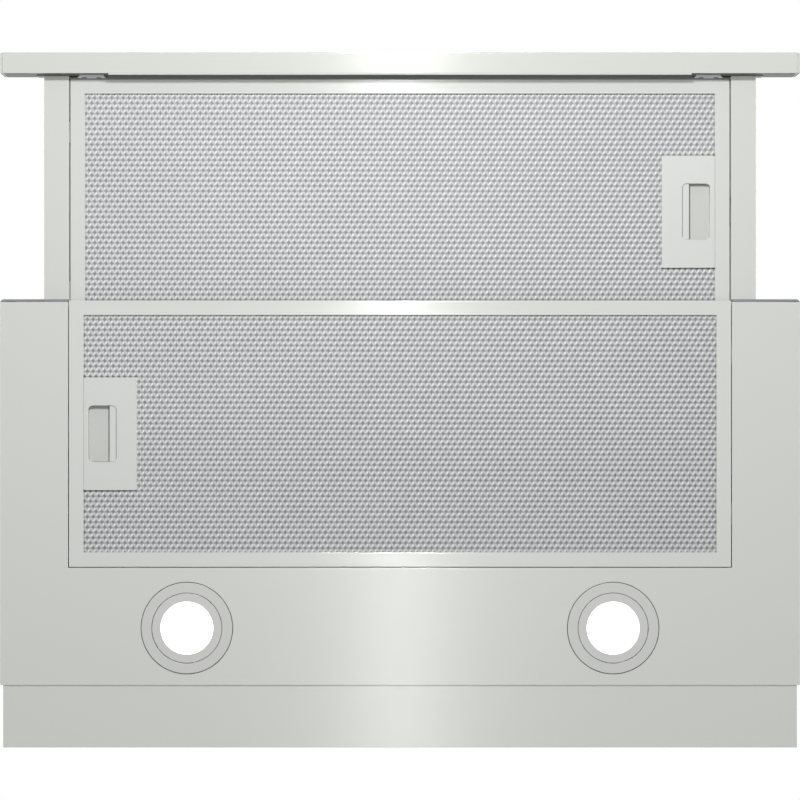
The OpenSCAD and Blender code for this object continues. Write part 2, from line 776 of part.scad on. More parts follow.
// Opal lens of a lamp, slightly domed
module lamp_lens(side) {
    color("white") at_lamp(side) rotate_extrude()
        polygon(concat(
            [for (s = [0:0.25:1]) [lamp_lens_r * s, lamp_step + lens_dome * s * s]],
            [[lamp_lens_r, lens_h], [0, lens_h]]
        ));
}

// Can of a lamp above the bottom plate, with cooling holes in its top
module lamp_can(side) {
    color(zinc) at_lamp(side) difference() {
        translate([0, 0, lamp_collar_h]) cylinder(h = lamp_can_h - lamp_collar_h, r = lamp_hole_r);
        translate([0, 0, lamp_collar_h - through])
            cylinder(h = lamp_can_h - lamp_collar_h - sheet_t + through, r = lamp_hole_r - sheet_t);
        for (i = [1:can_hole_count])
            rotate([0, 0, i * 360 / can_hole_count]) translate([lamp_hole_r / 2, 0, 0])
                cylinder(h = lamp_can_h + through, r = can_hole_r);
    }
}

// Power supply of the lamps, between their cans
module lamp_driver() {
    end_y = driver_d / 2 - driver_notch;
    color(dark_plastic) translate([0, lamp_y + driver_back, bottom_z + sheet_t]) difference() {
        block([-driver_w / 2, -driver_d / 2, 0], [driver_w / 2, driver_d / 2, driver_h]);
        for (x = [-driver_w / 2, driver_w / 2])
            block([x - driver_notch, -end_y, driver_h / 2],
                  [x + driver_notch, end_y, driver_h + through]);
    }
}

// Points of the scroll's spiral around the fan shaft, as Y and Z, moved outwards by extra
function spiral(extra) = [
    for (a = [scroll_start:scroll_step:scroll_end])
        let (r = tongue_r + scroll_growth * (a - scroll_start) + extra) [-r * sin(a), r * cos(a)]
];

// Solid of the scroll and its duct from x1 to x2, moved outwards by extra
module scroll_body(x1, x2, extra) {
    translate([x1, fan_y, fan_z]) rotate([90, 0, 90]) linear_extrude(x2 - x1)
        polygon(concat([[0, 0]], spiral(extra)));
    block([x1, fan_y + duct_front_y - extra, fan_z],
          [x2, fan_y + duct_rear_y + extra, fan_z + scroll_top]);
}

// One half of the blower case, with its moulded inlet nozzle and outlet flange
module blower_case(side) {
    nozzle_x = scroll_half + nozzle_l;
    color(grey_plastic) on_side(side) difference() {
        union() {
            scroll_body(0, scroll_half, scroll_t);
            block([0, fan_y + duct_front_y - flange_w, cover_z - flange_t],
                  [scroll_half + flange_w, fan_y + duct_rear_y + flange_w, cover_z]);
            rod_x(scroll_half - scroll_t, nozzle_x, fan_y, fan_z, nozzle_r + nozzle_rim);
        }
        difference() {
            scroll_body(-through, scroll_half - scroll_t, 0);
            block([-2 * through, fan_y - case_d, cover_z - flange_t],
                  [scroll_half, fan_y + case_d, box_h]);
        }
        translate([0, collar_y, cover_z - flange_t - through])
            cylinder(h = flange_t + 2 * through, r = outlet_r);
        rod_x(0, nozzle_x + through, fan_y, fan_z, nozzle_r);
        translate([nozzle_x - nozzle_flare, fan_y, fan_z]) rotate([0, 90, 0])
            cylinder(h = nozzle_flare + play, r1 = nozzle_r, r2 = nozzle_r + nozzle_flare);
    }
}

// Double-inlet impeller with its middle disc, blades, end rings and shaft
module impeller() {
    blade_r = fan_r - blade_d;
    color(dark_plastic) {
        rod_x(-disc_t / 2, disc_t / 2, fan_y, fan_z, fan_r);
        rod_x(-shaft_stub_l, shaft_l, fan_y, fan_z, shaft_r);
        rod_x(-hub_l / 2, hub_l / 2, fan_y, fan_z, hub_r);
        for (x = [-fan_half, fan_half - ring_t])
            difference() {
                rod_x(x, x + ring_t, fan_y, fan_z, fan_r);
                rod_x(x - through, x + ring_t + through, fan_y, fan_z, fan_r - ring_w);
            }
        for (i = [0:blade_count - 1])
            translate([-fan_half, fan_y, fan_z]) rotate([i * 360 / blade_count, 0, 0])
                translate([0, -blade_t / 2, blade_r]) rotate([-blade_angle, 0, 0])
                    cube([2 * fan_half, blade_t, blade_d]);
    }
}

// Motor inside the impeller's right half, with the bore of its shaft
module motor() {
    color(zinc) difference() {
        union() {
            rod_x(nose_x + nose_l, arm_x, fan_y, fan_z, motor_r);
            rod_x(nose_x, nose_x + nose_l + through, fan_y, fan_z, nose_r);
        }
        rod_x(nose_x - through, shaft_l + through, fan_y, fan_z, shaft_r + play);
    }
}

// Three-armed bracket that holds the motor on the blower case
module motor_bracket() {
    reach = nozzle_r + nozzle_rim + arm_gap / 2 + post_r;
    color(zinc) {
        rod_x(arm_x, arm_x + arm_t, fan_y, fan_z, arm_hub_r);
        for (a = [0, 120, 240])
            translate([0, fan_y, fan_z]) rotate([a, 0, 0]) {
                block([arm_x, -arm_w / 2, 0], [arm_x + arm_t, arm_w / 2, reach]);
                rod_x(scroll_half, arm_x + arm_t, 0, reach, post_r);
            }
    }
}

// Box of the fan control, on the left wall of the upper housing
module control_box() {
    wall = control_wall;
    slot = control_slot_d / 2;
    color(dark_plastic)
        translate([-box_half + sheet_t, box_front_y + control_inset + control_d / 2, control_rise])
            difference() {
                block([0, -control_d / 2, 0], [control_w, control_d / 2, control_h]);
                block([wall, wall - control_d / 2, wall],
                      [control_w - wall, control_d / 2 - wall, control_h - wall]);
                block([wall, -slot, control_h / 2], [control_w - wall, slot, control_h + through]);
            }
}

// Gland of the mains cable in the top cover
module cable_gland() {
    color(dark_plastic) translate([gland_x, gland_y, box_h]) rotate_extrude()
        polygon([
            [gland_bore_r, -gland_h], [gland_neck_r, -gland_h], [gland_neck_r, 0],
            [gland_neck_r + gland_flange_w, 0], [gland_neck_r + gland_flange_w, gland_flange_w],
            [gland_neck_r, gland_h], [gland_bore_r, gland_h]
        ]);
}

// Duct collar with its base flange, flap ledge and the bores of the flap pins
module duct_collar() {
    bore_half = bore_r + collar_t / 2;
    color(grey_plastic) difference() {
        translate([0, collar_y, 0]) rotate_extrude() {
            translate([bore_r, box_h]) square([collar_base_r - bore_r, collar_base_t]);
            translate([bore_r, box_h]) square([collar_t, collar_h]);
            translate([bore_r - ledge_w, flap_z - ledge_drop - ledge_t])
                square([ledge_w + collar_t / 2, ledge_t]);
        }
        for (x = [-flap_axis_x, flap_axis_x])
            rod_y(collar_y - bore_half, collar_y + bore_half, x, flap_z, flap_pin_r + play);
    }
}

// Pins of the two non-return flaps
module flap_pins() {
    color(zinc) for (x = [-flap_axis_x, flap_axis_x])
        rod_y(collar_y - pin_half, collar_y + pin_half, x, flap_z, flap_pin_r);
}

// Half-moon non-return flap with its hinge sleeve
module flap(side) {
    sleeve_r = flap_pin_r + sleeve_wall;
    flap_r = bore_r - 2 * slip;
    sleeve_half = sqrt(flap_r * flap_r - (flap_axis_x + sleeve_r) * (flap_axis_x + sleeve_r));
    color(grey_plastic) on_side(side) difference() {
        union() {
            intersection() {
                translate([0, collar_y, flap_z - flap_t / 2]) cylinder(h = flap_t, r = flap_r);
                block([flap_axis_x, collar_y - collar_r, flap_z - flap_t],
                      [collar_r, collar_y + collar_r, flap_z + flap_t]);
            }
            rod_y(collar_y - sleeve_half, collar_y + sleeve_half, flap_axis_x, flap_z, sleeve_r);
        }
        rod_y(collar_y - collar_r, collar_y + collar_r, flap_axis_x, flap_z, flap_pin_r + play);
    }
}

// Front panel: a closed sheet tube with the holes of the keys
module front_panel() {
    end_x = half_w - panel_cap_t;
    color(steel) pulled_out() difference() {
        block([-end_x, panel_front_y, bottom_z], [end_x, panel_back_y, bottom_z + panel_h]);
        block([-end_x - through, panel_front_y + panel_t, bottom_z + panel_t],
              [end_x + through, panel_back_y - panel_t, bottom_z + panel_h - panel_t]);
        for (i = [0:2])
            block([key_x(i) - key_w / 2 - slip, panel_front_y - through, key_z - key_h / 2 - slip],
                  [key_x(i) + key_w / 2 + slip, panel_front_y + 2 * panel_t, key_z + key_h / 2 + slip]);
        for (x = [-bracket_x, bracket_x])
            rod_y(panel_back_y - 2 * panel_t, panel_back_y + through, x, screw_z, screw_r + play);
    }
}

// Plugs in the ends of the front panel
module panel_caps() {
    end_x = half_w - panel_cap_t;
    gap = panel_t + slip / 2;
    color(steel) pulled_out() for (side = [-1, 1]) on_side(side) {
        block([end_x, panel_front_y, bottom_z], [half_w, panel_back_y, bottom_z + panel_h]);
        block([end_x - plug_l, panel_front_y + gap, bottom_z + gap],
              [end_x, panel_back_y - gap, bottom_z + panel_h - gap]);
    }
}

// Place of a key, counted from the left
function key_x(i) = half_w - key_inset - (2 - i) * key_pitch;

// Key that slides into the panel on a round stem
module key_button(i) {
    face_y = panel_front_y + key_setback;
    cap_end_y = face_y + key_l;
    rim_x = key_w / 2 + key_rim;
    rim_z = key_h / 2 + key_rim;
    color(dark_plastic) pulled_out() {
        block([key_x(i) - key_w / 2, face_y, key_z - key_h / 2],
              [key_x(i) + key_w / 2, cap_end_y, key_z + key_h / 2]);
        block([key_x(i) - rim_x, panel_front_y + panel_t + slip, key_z - rim_z],
              [key_x(i) + rim_x, cap_end_y, key_z + rim_z]);
        rod_y(cap_end_y, cap_end_y + key_stem_l, key_x(i), key_z, key_stem_r);
    }
}

// Switch module behind the keys, on the panel's rear sheet
module key_module() {
    face_y = panel_front_y + key_setback + key_l + key_stroke + slip;
    edge = key_w / 2 + module_edge;
    color(dark_plastic) pulled_out() difference() {
        block([key_x(0) - edge, face_y, key_z - module_h / 2],
              [key_x(2) + edge, panel_back_y - panel_t, key_z + module_h / 2]);
        for (i = [0:2])
            rod_y(face_y - through, face_y + key_stem_l + slip, key_x(i), key_z, key_stem_r + play);
    }
}

// Galvanised bracket that screws the drawer to the panel
module panel_bracket(side) {
    face_y = bar_y + bracket_t;
    top_z = drawer_top_z - side_t;
    color(zinc) pulled_out() on_side(side) translate([bracket_x, 0, 0]) difference() {
        union() {
            block([-bracket_w / 2, bar_y, drawer_z], [bracket_w / 2, face_y, top_z]);
            for (x = [-bracket_w / 2, bracket_w / 2 - bracket_t])
                block([x, bar_y, drawer_z], [x + bracket_t, face_y + bracket_fold, top_z]);
        }
        rod_y(bar_y - through, face_y + through, 0, screw_z, screw_r + play);
        block([-notch_w / 2, bar_y - through, drawer_z - through],
              [notch_w / 2, face_y + through, drawer_z + notch_h]);
    }
}

// Screws through the panel brackets, the front bar and the panel's rear sheet
module drawer_screws() {
    color(zinc) pulled_out() for (x = [-bracket_x, bracket_x])
        translate([x, bar_y + bracket_t, screw_z]) rotate([-90, 0, 0]) pan_screw(plate_screw_l);
}

// Side profile of the drawer: an inner wall, a foot flange and the rib of the slide.
// The left profile has the slots of the hook tabs, the right one the slot of the latch.
module drawer_side(side) {
    cas_z = bottom_z + cas_lift;
    tab_slot_y = tab_w / 2 + slip;
    tongue_slot_y = tongue_w / 2 + slip;
    color(steel) pulled_out() on_side(side) difference() {
        union() {
            block([side_x, bar_y, drawer_z], [side_x + side_t, side_end_y, drawer_top_z]);
            block([side_x, bar_y, drawer_z], [side_out_x, side_end_y, drawer_z + side_t]);
            block([rib_x, bar_y, drawer_z], [rib_x + side_t, side_end_y, drawer_top_z - rib_drop]);
        }
        if (side < 0)
            for (y = [-tab_pitch / 2, tab_pitch / 2])
                block([side_x - through, front_cas_y + y - tab_slot_y, cas_z + tab_z - slip],
                      [side_x + side_t + through, front_cas_y + y + tab_slot_y,
                       cas_z + tab_z + tab_t + slip]);
        else
            block([side_x - through, front_cas_y - tongue_slot_y, cas_z + sheet_t],
                  [side_x + side_t + through, front_cas_y + tongue_slot_y,
                   cas_z + sheet_t + tongue_slot_h]);
    }
}

// Front bar of the drawer, behind the panel
module drawer_front_bar() {
    lip_x = bracket_x - bracket_w / 2 - bar_lip_gap;
    color(steel) pulled_out() difference() {
        union() {
            block([-bar_x, panel_back_y, drawer_z], [bar_x, bar_y, drawer_top_z - side_t]);
            block([-lip_x, panel_back_y, drawer_z], [lip_x, bar_y + bar_lip_d, drawer_z + side_t]);
        }
        for (x = [-bracket_x, bracket_x])
            rod_y(panel_back_y - through, bar_y + through, x, screw_z, screw_r + play);
    }
}

// Rear bar of the drawer, behind the front cassette
module drawer_rear_bar() {
    color(steel) pulled_out() {
        block([-side_x, rear_bar_y, drawer_z], [side_x, rear_bar_y + side_t, drawer_z + rear_bar_h]);
        block([-side_x, rear_bar_y, drawer_z], [side_x, drawer_end_y, drawer_z + side_t]);
    }
}

// Cover over the drawer's air channel, on the side profiles
module drawer_cover() {
    color(steel) pulled_out() {
        block([-side_x - side_t, panel_back_y, drawer_top_z],
              [side_x + side_t, drawer_end_y, drawer_top_z + side_t]);
        block([-side_x + slip, drawer_end_y - side_t, drawer_top_z - cover_fold_h],
              [side_x - slip, drawer_end_y, drawer_top_z]);
        block([-bar_x, panel_back_y, drawer_top_z - side_t],
              [bar_x, bar_y, drawer_top_z + side_t]);
    }
}

// Place of the rear cassette in the bottom plate
module at_rear() {
    translate([0, rear_cas_y, bottom_z]) children();
}

// Place of the front cassette in the open drawer, turned round
module at_front() {
    translate([0, front_cas_y - travel, bottom_z + cas_lift]) rotate([0, 0, 180]) children();
}

// Cassette frame: a folded channel around the mesh, with two hook tabs at its +X end
module cassette_frame() {
    x = cas_w / 2;
    y = cas_d / 2;
    color(steel) {
        difference() {
            block([-x, -y, 0], [x, y, cas_h]);
            block([-x + cas_t, -y + cas_t, cas_t], [x - cas_t, y - cas_t, cas_h - cas_t]);
            block([-x + cas_border, -y + cas_border, -through],
                  [x - cas_border, y - cas_border, cas_h]);
            block([-x + cas_lip, -y + cas_lip, cas_t], [x - cas_lip, y - cas_lip, cas_h + through]);
            block([-x - through, -tongue_w / 2 - slip, sheet_t],
                  [-x + 2 * cas_t, tongue_w / 2 + slip, sheet_t + tongue_slot_h]);
        }
        for (side = [-1, 1])
            translate([0, side * tab_pitch / 2 - tab_w / 2, 0]) {
                block([x - cas_t, 0, tab_z], [x + tab_reach, tab_w, tab_z + tab_t]);
                block([x + tab_reach - tab_t, 0, sheet_t + slip],
                      [x + tab_reach, tab_w, tab_z + tab_t]);
            }
    }
}

// Outline of the mesh pad, drawn in by inset and notched for the handle, from z1 to z2
module pad_layer(inset, z1, z2) {
    x = cas_w / 2 - cas_t - slip / 2 - inset;
    y = cas_d / 2 - cas_t - slip / 2 - inset;
    difference() {
        block([-x, -y, z1], [x, y, z2]);
        block([-x - through, -grip_d / 2 - slip - inset, z1 - through],
              [grip_x + grip_w + slip + inset, grip_d / 2 + slip + inset, z2 + through]);
    }
}

// Pad of expanded metal: a lower layer with an upturned rim, and an upper layer on it
module cassette_mesh() {
    low_z = cas_t + slip / 2;
    high_z = cas_h - cas_t - slip / 2;
    color(mesh_metal) {
        difference() {
            pad_layer(0, low_z, high_z - mesh_t);
            pad_layer(mesh_t, low_z + mesh_t, high_z);
        }
        pad_layer(0, high_z - mesh_t, high_z);
    }
}

// Handle plate with its finger recess, guide walls and back plate
module cassette_handle() {
    back_z = slider_z + slider_t + slip;
    wall = grip_wall;
    guide_y = recess_d / 2;
    color(steel) {
        difference() {
            block([grip_x, -grip_d / 2, 0], [grip_x + grip_w, grip_d / 2, cas_t]);
            block([recess_x, -recess_d / 2, -through], [recess_end_x, recess_d / 2, cas_h]);
        }
        for (y = [-guide_y - wall, guide_y])
            block([recess_x - wall, y, 0], [grip_x + grip_w, y + wall, back_z]);
        block([recess_x - wall, -guide_y - wall, 0], [recess_x, guide_y + wall, slider_z - slip]);
        block([stop_x, -guide_y - wall, 0], [stop_x + wall, guide_y + wall, slider_z - slip]);
        block([spring_end_x, -guide_y - wall, 0], [spring_end_x + wall, guide_y + wall, back_z]);
        block([-cas_w / 2 + cas_t + slip, -grip_d / 2, back_z],
              [grip_x + grip_w, grip_d / 2, cas_h - cas_t - slip / 2]);
        for (y = [-grip_d / 2, grip_d / 2 - wall])
            block([grip_x, y, 0], [grip_x + grip_w, y + wall, back_z]);
    }
}

// Latch slider: a plate behind the recess, a finger lip and a stepped tongue
module cassette_latch() {
    guide_y = recess_d / 2 - slip / 2;
    tongue_z = sheet_t + slip;
    tip_x = -cas_w / 2 - cas_gap + slip;
    step_x = recess_x - grip_wall - latch_travel - slip - tongue_t;
    color(steel) {
        block([step_x, -guide_y, slider_z], [spring_x, guide_y, slider_z + slider_t]);
        block([recess_end_x - lip_w, -guide_y, cas_t + slip], [recess_end_x - slip, guide_y,
              slider_z + slider_t]);
        block([step_x, -tongue_w / 2, tongue_z],
              [step_x + tongue_t, tongue_w / 2, slider_z + slider_t]);
        block([tip_x, -tongue_w / 2, tongue_z],
              [step_x + tongue_t, tongue_w / 2, tongue_z + tongue_t]);
        block([push_x, -pusher_w / 2, cas_t + slip], [spring_x, pusher_w / 2, slider_z + slider_t]);
    }
}

// Return spring of the latch, between the slider's pusher and the handle's end wall
module cassette_spring() {
    color(zinc) difference() {
        rod_x(spring_x, spring_end_x, 0, spring_z, spring_r);
        rod_x(spring_x - through, spring_end_x + through, 0, spring_z, spring_r - spring_t);
    }
}

case_top();
bottom_plate();
front_cap(-1);  // front_cap_left
front_cap(1);  // front_cap_right
upper_housing();
top_cover();
rear_strip();
case_screws();
slide_bracket(-1);  // slide_bracket_left
slide_bracket(1);  // slide_bracket_right
outer_rail(-1);  // outer_rail_left
outer_rail(1);  // outer_rail_right
lamp_trim(-1);  // lamp_trim_left
lamp_trim(1);  // lamp_trim_right
lamp_ring(-1);  // lamp_ring_left
lamp_ring(1);  // lamp_ring_right
lamp_lens(-1);  // lamp_lens_left
lamp_lens(1);  // lamp_lens_right
lamp_can(-1);  // lamp_can_left
lamp_can(1);  // lamp_can_right
lamp_driver();
blower_case(-1);  // blower_case_left
blower_case(1);  // blower_case_right
motor();
motor_bracket();
control_box();
cable_gland();
duct_collar();
flap_pins();
front_panel();
panel_caps();
panel_bracket(-1);  // panel_bracket_left
panel_bracket(1);  // panel_bracket_right
drawer_screws();
drawer_side(-1);  // drawer_side_left
drawer_side(1);  // drawer_side_right
drawer_front_bar();
drawer_rear_bar();
drawer_cover();
inner_rail(-1);  // inner_rail_left
inner_rail(1);  // inner_rail_right
at_front() cassette_frame();  // front_filter_frame
at_front() cassette_mesh();  // front_filter_mesh
at_front() cassette_handle();  // front_filter_handle
key_module();
ball_cage(-1);  // ball_cage_left
ball_cage(1);  // ball_cage_right
at_rear() cassette_frame();  // rear_filter_frame
at_rear() cassette_mesh();  // rear_filter_mesh
at_rear() cassette_handle();  // rear_filter_handle
at_front() cassette_latch();  // front_latch
at_rear() cassette_latch();  // rear_latch
at_front() cassette_spring();  // front_latch_spring
at_rear() cassette_spring();  // rear_latch_spring
impeller();
flap(-1);  // flap_left
flap(1);  // flap_right
key_button(0);  // key_light
key_button(1);  // key_slower
key_button(2);  // key_faster
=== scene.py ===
"""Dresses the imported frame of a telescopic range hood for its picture.

Shapes are worked out in millimetres in the hood's own frame, with +Z up and +Y
towards the wall, and are scaled to metres when they become meshes.
"""
import json
import logging
import math
from dataclasses import dataclass
from enum import Enum
from typing import Callable, NamedTuple, TypeAlias

import bmesh
import bpy
import numpy as np
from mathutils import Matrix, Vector

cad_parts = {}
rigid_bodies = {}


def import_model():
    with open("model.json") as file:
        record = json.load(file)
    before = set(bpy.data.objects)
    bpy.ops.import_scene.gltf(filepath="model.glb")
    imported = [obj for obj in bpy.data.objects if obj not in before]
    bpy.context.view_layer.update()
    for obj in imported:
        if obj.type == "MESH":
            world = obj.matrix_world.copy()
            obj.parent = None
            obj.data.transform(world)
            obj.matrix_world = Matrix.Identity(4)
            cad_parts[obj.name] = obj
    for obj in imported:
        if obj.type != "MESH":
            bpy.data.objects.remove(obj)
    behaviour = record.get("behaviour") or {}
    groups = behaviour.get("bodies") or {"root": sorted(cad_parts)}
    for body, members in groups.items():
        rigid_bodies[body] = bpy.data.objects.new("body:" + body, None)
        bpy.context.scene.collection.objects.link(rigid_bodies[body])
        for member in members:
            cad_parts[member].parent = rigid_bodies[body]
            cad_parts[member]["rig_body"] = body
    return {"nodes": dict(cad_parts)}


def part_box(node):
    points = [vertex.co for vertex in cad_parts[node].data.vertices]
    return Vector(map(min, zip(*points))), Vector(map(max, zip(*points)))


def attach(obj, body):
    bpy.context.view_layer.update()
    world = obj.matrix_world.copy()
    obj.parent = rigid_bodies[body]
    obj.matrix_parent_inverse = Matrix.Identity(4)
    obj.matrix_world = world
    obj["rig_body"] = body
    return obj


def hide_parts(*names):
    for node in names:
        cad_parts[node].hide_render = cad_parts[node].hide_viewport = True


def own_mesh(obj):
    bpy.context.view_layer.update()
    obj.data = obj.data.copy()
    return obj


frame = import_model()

log = logging.getLogger("range_hood")
MM = 0.001
METRE = 1000.0
WHITE = (1.0, 1.0, 1.0)
BLACK = (0.0, 0.0, 0.0)
Colour: TypeAlias = tuple[float, float, float]
Place: TypeAlias = tuple[float, float, float]
Shade: TypeAlias = Callable[[np.ndarray, np.ndarray], np.ndarray]
Socket: TypeAlias = bpy.types.NodeSocket
Term: TypeAlias = "Number | float"


class Slot(Enum):
    """The material slots of the record; each finish holds one."""

    SILVER_PAINT = "silver_paint"
    FILTER_PAINT = "filter_paint"
    HANDLE_PAINT = "handle_paint"
    MESH_METAL = "mesh_metal"
    ZINC_SHEET = "zinc_sheet"
    ZINC_RAIL = "zinc_rail"
    SCREW_STEEL = "screw_steel"
    LAMP_OPAL = "lamp_opal"
    MOTOR_ZINC = "motor_zinc"
    CAP_PLASTIC = "cap_plastic"
    BLOWER_PLASTIC = "blower_plastic"
    DARK_PLASTIC = "dark_plastic"
    KEY_PLASTIC = "key_plastic"


class Direction(Enum):
    """The axis that a drawn metal's grain runs along, as how much each axis is stretched."""

    ALONG_X = (0.02, 1.0, 1.0)
    ALONG_Y = (1.0, 0.02, 1.0)
    ROUND = (1.0, 1.0, 1.0)


class Number:
    """One number at each point of a surface, read from a socket; operators add Math nodes."""

    def __init__(self, board: "Board", socket: Socket) -> None:
        """Wraps one number socket of a board."""
        self.board = board
        self.socket = socket

    def _math(self, operation: str, first: Term, second: Term) -> "Number":
        """Adds one Math node on two terms.

        Args:
            operation: the node's operation.
            first: its first term.
            second: its second term.

        Returns:
            The node's result.
        """
        settings = {"operation": operation}
        node = self.board.node("ShaderNodeMath", settings, {0: first, 1: second})
        return Number(self.board, node.outputs[0])

    def __add__(self, other: Term) -> "Number":
        """Sum."""
        return self._math("ADD", self, other)

    def __radd__(self, other: float) -> "Number":
        """Sum, with the number on the left."""
        return self._math("ADD", other, self)

    def __sub__(self, other: Term) -> "Number":
        """Difference."""
        return self._math("SUBTRACT", self, other)

    def __rsub__(self, other: float) -> "Number":
        """Difference, with the number on the left."""
        return self._math("SUBTRACT", other, self)

    def __mul__(self, other: Term) -> "Number":
        """Product."""
        return self._math("MULTIPLY", self, other)

    def __rmul__(self, other: float) -> "Number":
        """Product, with the number on the left."""
        return self._math("MULTIPLY", other, self)

    def step(self, low: float, high: float) -> "Number":
        """Rises smoothly from 0 at low to 1 at high.

        Args:
            low: the value that gives 0.
            high: the value that gives 1.

        Returns:
            The new number, held between 0 and 1.
        """
        node = self.board.node(
            "ShaderNodeMapRange",
            {"interpolation_type": "SMOOTHSTEP"},
            {"Value": self, "From Min": low, "From Max": high},
        )
        return Number(self.board, node.outputs[0])


class Board:
    """A node tree under construction, of a material or of the world."""

    def __init__(self, tree: bpy.types.NodeTree) -> None:
        """Starts from an empty tree."""
        self.tree = tree
        tree.nodes.clear()

    def node(self, kind: str, settings: dict | None = None,
             values: dict | None = None) -> bpy.types.Node:
        """Adds a node.

        Args:
            kind: the node's type.
            settings: its properties, set before its sockets.
            values: a constant, socket or number for each input, by name or index.

        Returns:
            The new node.
        """
        made = self.tree.nodes.new(kind)
        for key, setting in (settings or {}).items():
            setattr(made, key, setting)
        for key, value in (values or {}).items():
            source = value.socket if isinstance(value, Number) else value
            if isinstance(source, Socket):
                self.tree.links.new(source, made.inputs[key])
            else:
                made.inputs[key].default_value = source
        return made

    def principled(self, values: dict) -> None:
        """Ends a material in a Principled shader with values for its sockets."""
        shader = self.node("ShaderNodeBsdfPrincipled", None, values)
        self.node("ShaderNodeOutputMaterial", None, {"Surface": shader.outputs[0]})

    def place(self, stretch: Place = (1.0, 1.0, 1.0)) -> Socket:
        """Object coordinates, multiplied by one factor for each axis."""
        where = self.node("ShaderNodeTexCoord").outputs["Object"]
        return self.node("ShaderNodeMapping", None, {"Vector": where, "Scale": stretch}).outputs[0]

    def noise(self, size: float, detail: float = 2.0,
              stretch: Place = (1.0, 1.0, 1.0)) -> Number:
        """Cloudy noise.

        Args:
            size: the width of its patches in millimetres.
            detail: how many finer layers it has.
            stretch: factor of the coordinates on each axis; a small one draws it out.

        Returns:
            A number from 0 to 1, mostly near 0.5.
        """
        values = {"Vector": self.place(stretch), "Scale": METRE / size, "Detail": detail}
        return Number(self, self.node("ShaderNodeTexNoise", None, values).outputs[0])

    def cells(self, size: float, output: str = "Color") -> Socket:
        """Voronoi cells of a size in millimetres, as a colour for each cell or a distance."""
        values = {"Vector": self.place(), "Scale": METRE / size}
        return self.node("ShaderNodeTexVoronoi", None, values).outputs[output]

    def blend(self, factor: Number, low: Colour | Socket, high: Colour) -> Socket:
        """A colour between two colours.

        Args:
            factor: 0 gives low and 1 gives high.
            low: the first colour, or a socket that gives it.
            high: the second colour.

        Returns:
            The colour socket.
        """
        first = low if isinstance(low, Socket) else (*low, 1.0)
        values = {0: factor, 6: first, 7: (*high, 1.0)}
        return self.node("ShaderNodeMix", {"data_type": "RGBA"}, values).outputs[2]

    def seen(self) -> Number:
        """1 for rays from the camera, off gloss and through glass, and 0 for the others.

        Returns:
            The new number.
        """
        path = self.node("ShaderNodeLightPath").outputs
        camera, glossy, through = (
            Number(self, path[f"Is {kind} Ray"]) for kind in ("Camera", "Glossy", "Transmission"))
        return (camera + glossy + through).step(0.0, 1.0)

    def measure(self, name: str) -> Number:
        """A number that the mesh carries as an attribute."""
        node = self.node("ShaderNodeAttribute", {"attribute_name": name})
        return Number(self, node.outputs["Fac"])

    def bump(self, height: Number, depth: float, strength: float) -> Socket:
        """A normal tilted by a height field whose full range is depth millimetres."""
        values = {"Height": height, "Distance": depth * MM, "Strength": strength}
        return self.node("ShaderNodeBump", None, values).outputs[0]


def tinted(colour: Colour, factor: float) -> Colour:
    """A colour with each part multiplied by a factor."""
    return tuple(part * factor for part in colour)


def around(colour: Colour, share: float) -> tuple[Colour, Colour]:
    """A darker and a lighter version of a colour, each away from it by a share."""
    return tinted(colour, 1 - share), tinted(colour, 1 + share)


@dataclass(frozen=True)
class Finish:
    """The look of one surface.

    The fields are the finish's name, its slot in the record, its colour as linear
    red, green and blue, its roughness and how metallic it is.
    """

    name: str
    slot: Slot
    colour: Colour
    roughness: float = 0.4
    metallic: float = 0.0

    def material(self) -> bpy.types.Material:
        """Builds the material at its first use, and returns it.

        Returns:
            The finish's material.
        """
        known = bpy.data.materials.get(self.name)
        if known is not None:
            return known
        material = bpy.data.materials.new(self.name)
        material.use_nodes = True
        board = Board(material.node_tree)
        values = {"Metallic": self.metallic, "Roughness": self.roughness}
        values.update(self.sockets(board))
        board.principled(values)
        return material

    def sockets(self, board: Board) -> dict:
        """Gives the shader's varying sockets; each kind of finish has its own.

        Args:
            board: the material's node tree; not used here.

        Returns:
            What the shader's varying sockets get, by their names.
        """
        return {"Base Color": (*self.colour, 1.0)}


@dataclass(frozen=True)
class Paint(Finish):
    """Baked paint with fine flakes over sheet metal.

    flake is the share by which single flakes differ, cloud the share of the broad
    unevenness, and peel the depth in millimetres of the paint's fine ripple. Faces
    whose attribute "inside" is 1 get a darker colour of their own that paints
    shade, with a roughness of its own: the panel's faces turned to the wall and
    the floor of a handle's recess. The sizes are those of the clouds, flakes,
    ripples and dust patches in millimetres.
    """

    flake: float = 0.03
    cloud: float = 0.012
    peel: float = 0.002
    # A darker colour and roughness that paint shade on faces marked inside.
    shaded_colour: Colour = (0.2, 0.21, 0.2)
    shaded_roughness: float = 0.65
    cloud_size: float = 120.0
    flake_size: float = 0.55
    ripple_size: float = 2.4
    dust_size: float = 14.0

    def sockets(self, board: Board) -> dict:
        """Flakes and clouds tint the colour and the gloss, and a fine ripple lifts the paint.

        Args:
            board: the material's node tree.

        Returns:
            What the shader's varying sockets get, by their names.
        """
        cloud = board.noise(self.cloud_size, 3)
        flake = board.noise(self.flake_size, 1)
        ripple = board.noise(self.ripple_size, 2)
        dust = board.noise(self.dust_size, 5).step(0.55, 0.75)
        tone = (cloud - 0.5) * self.cloud * 8 + (flake - 0.5) * self.flake * 8 + 0.5
        spread = self.flake + self.cloud
        inside = board.measure("inside")
        coat = board.blend(tone, *around(self.colour, spread))
        gloss = self.roughness * (1 + (cloud - 0.5) * 0.2 + (flake - 0.5) * 0.2 + dust * 0.12)
        return {
            # Faces marked inside get the darker colour that paints shade.
            "Base Color": board.blend(inside, coat, self.shaded_colour),
            "Roughness": gloss + inside * (self.shaded_roughness - self.roughness),
            "Normal": board.bump(ripple * 0.7 + flake * 0.3, self.peel, 0.6),
        }


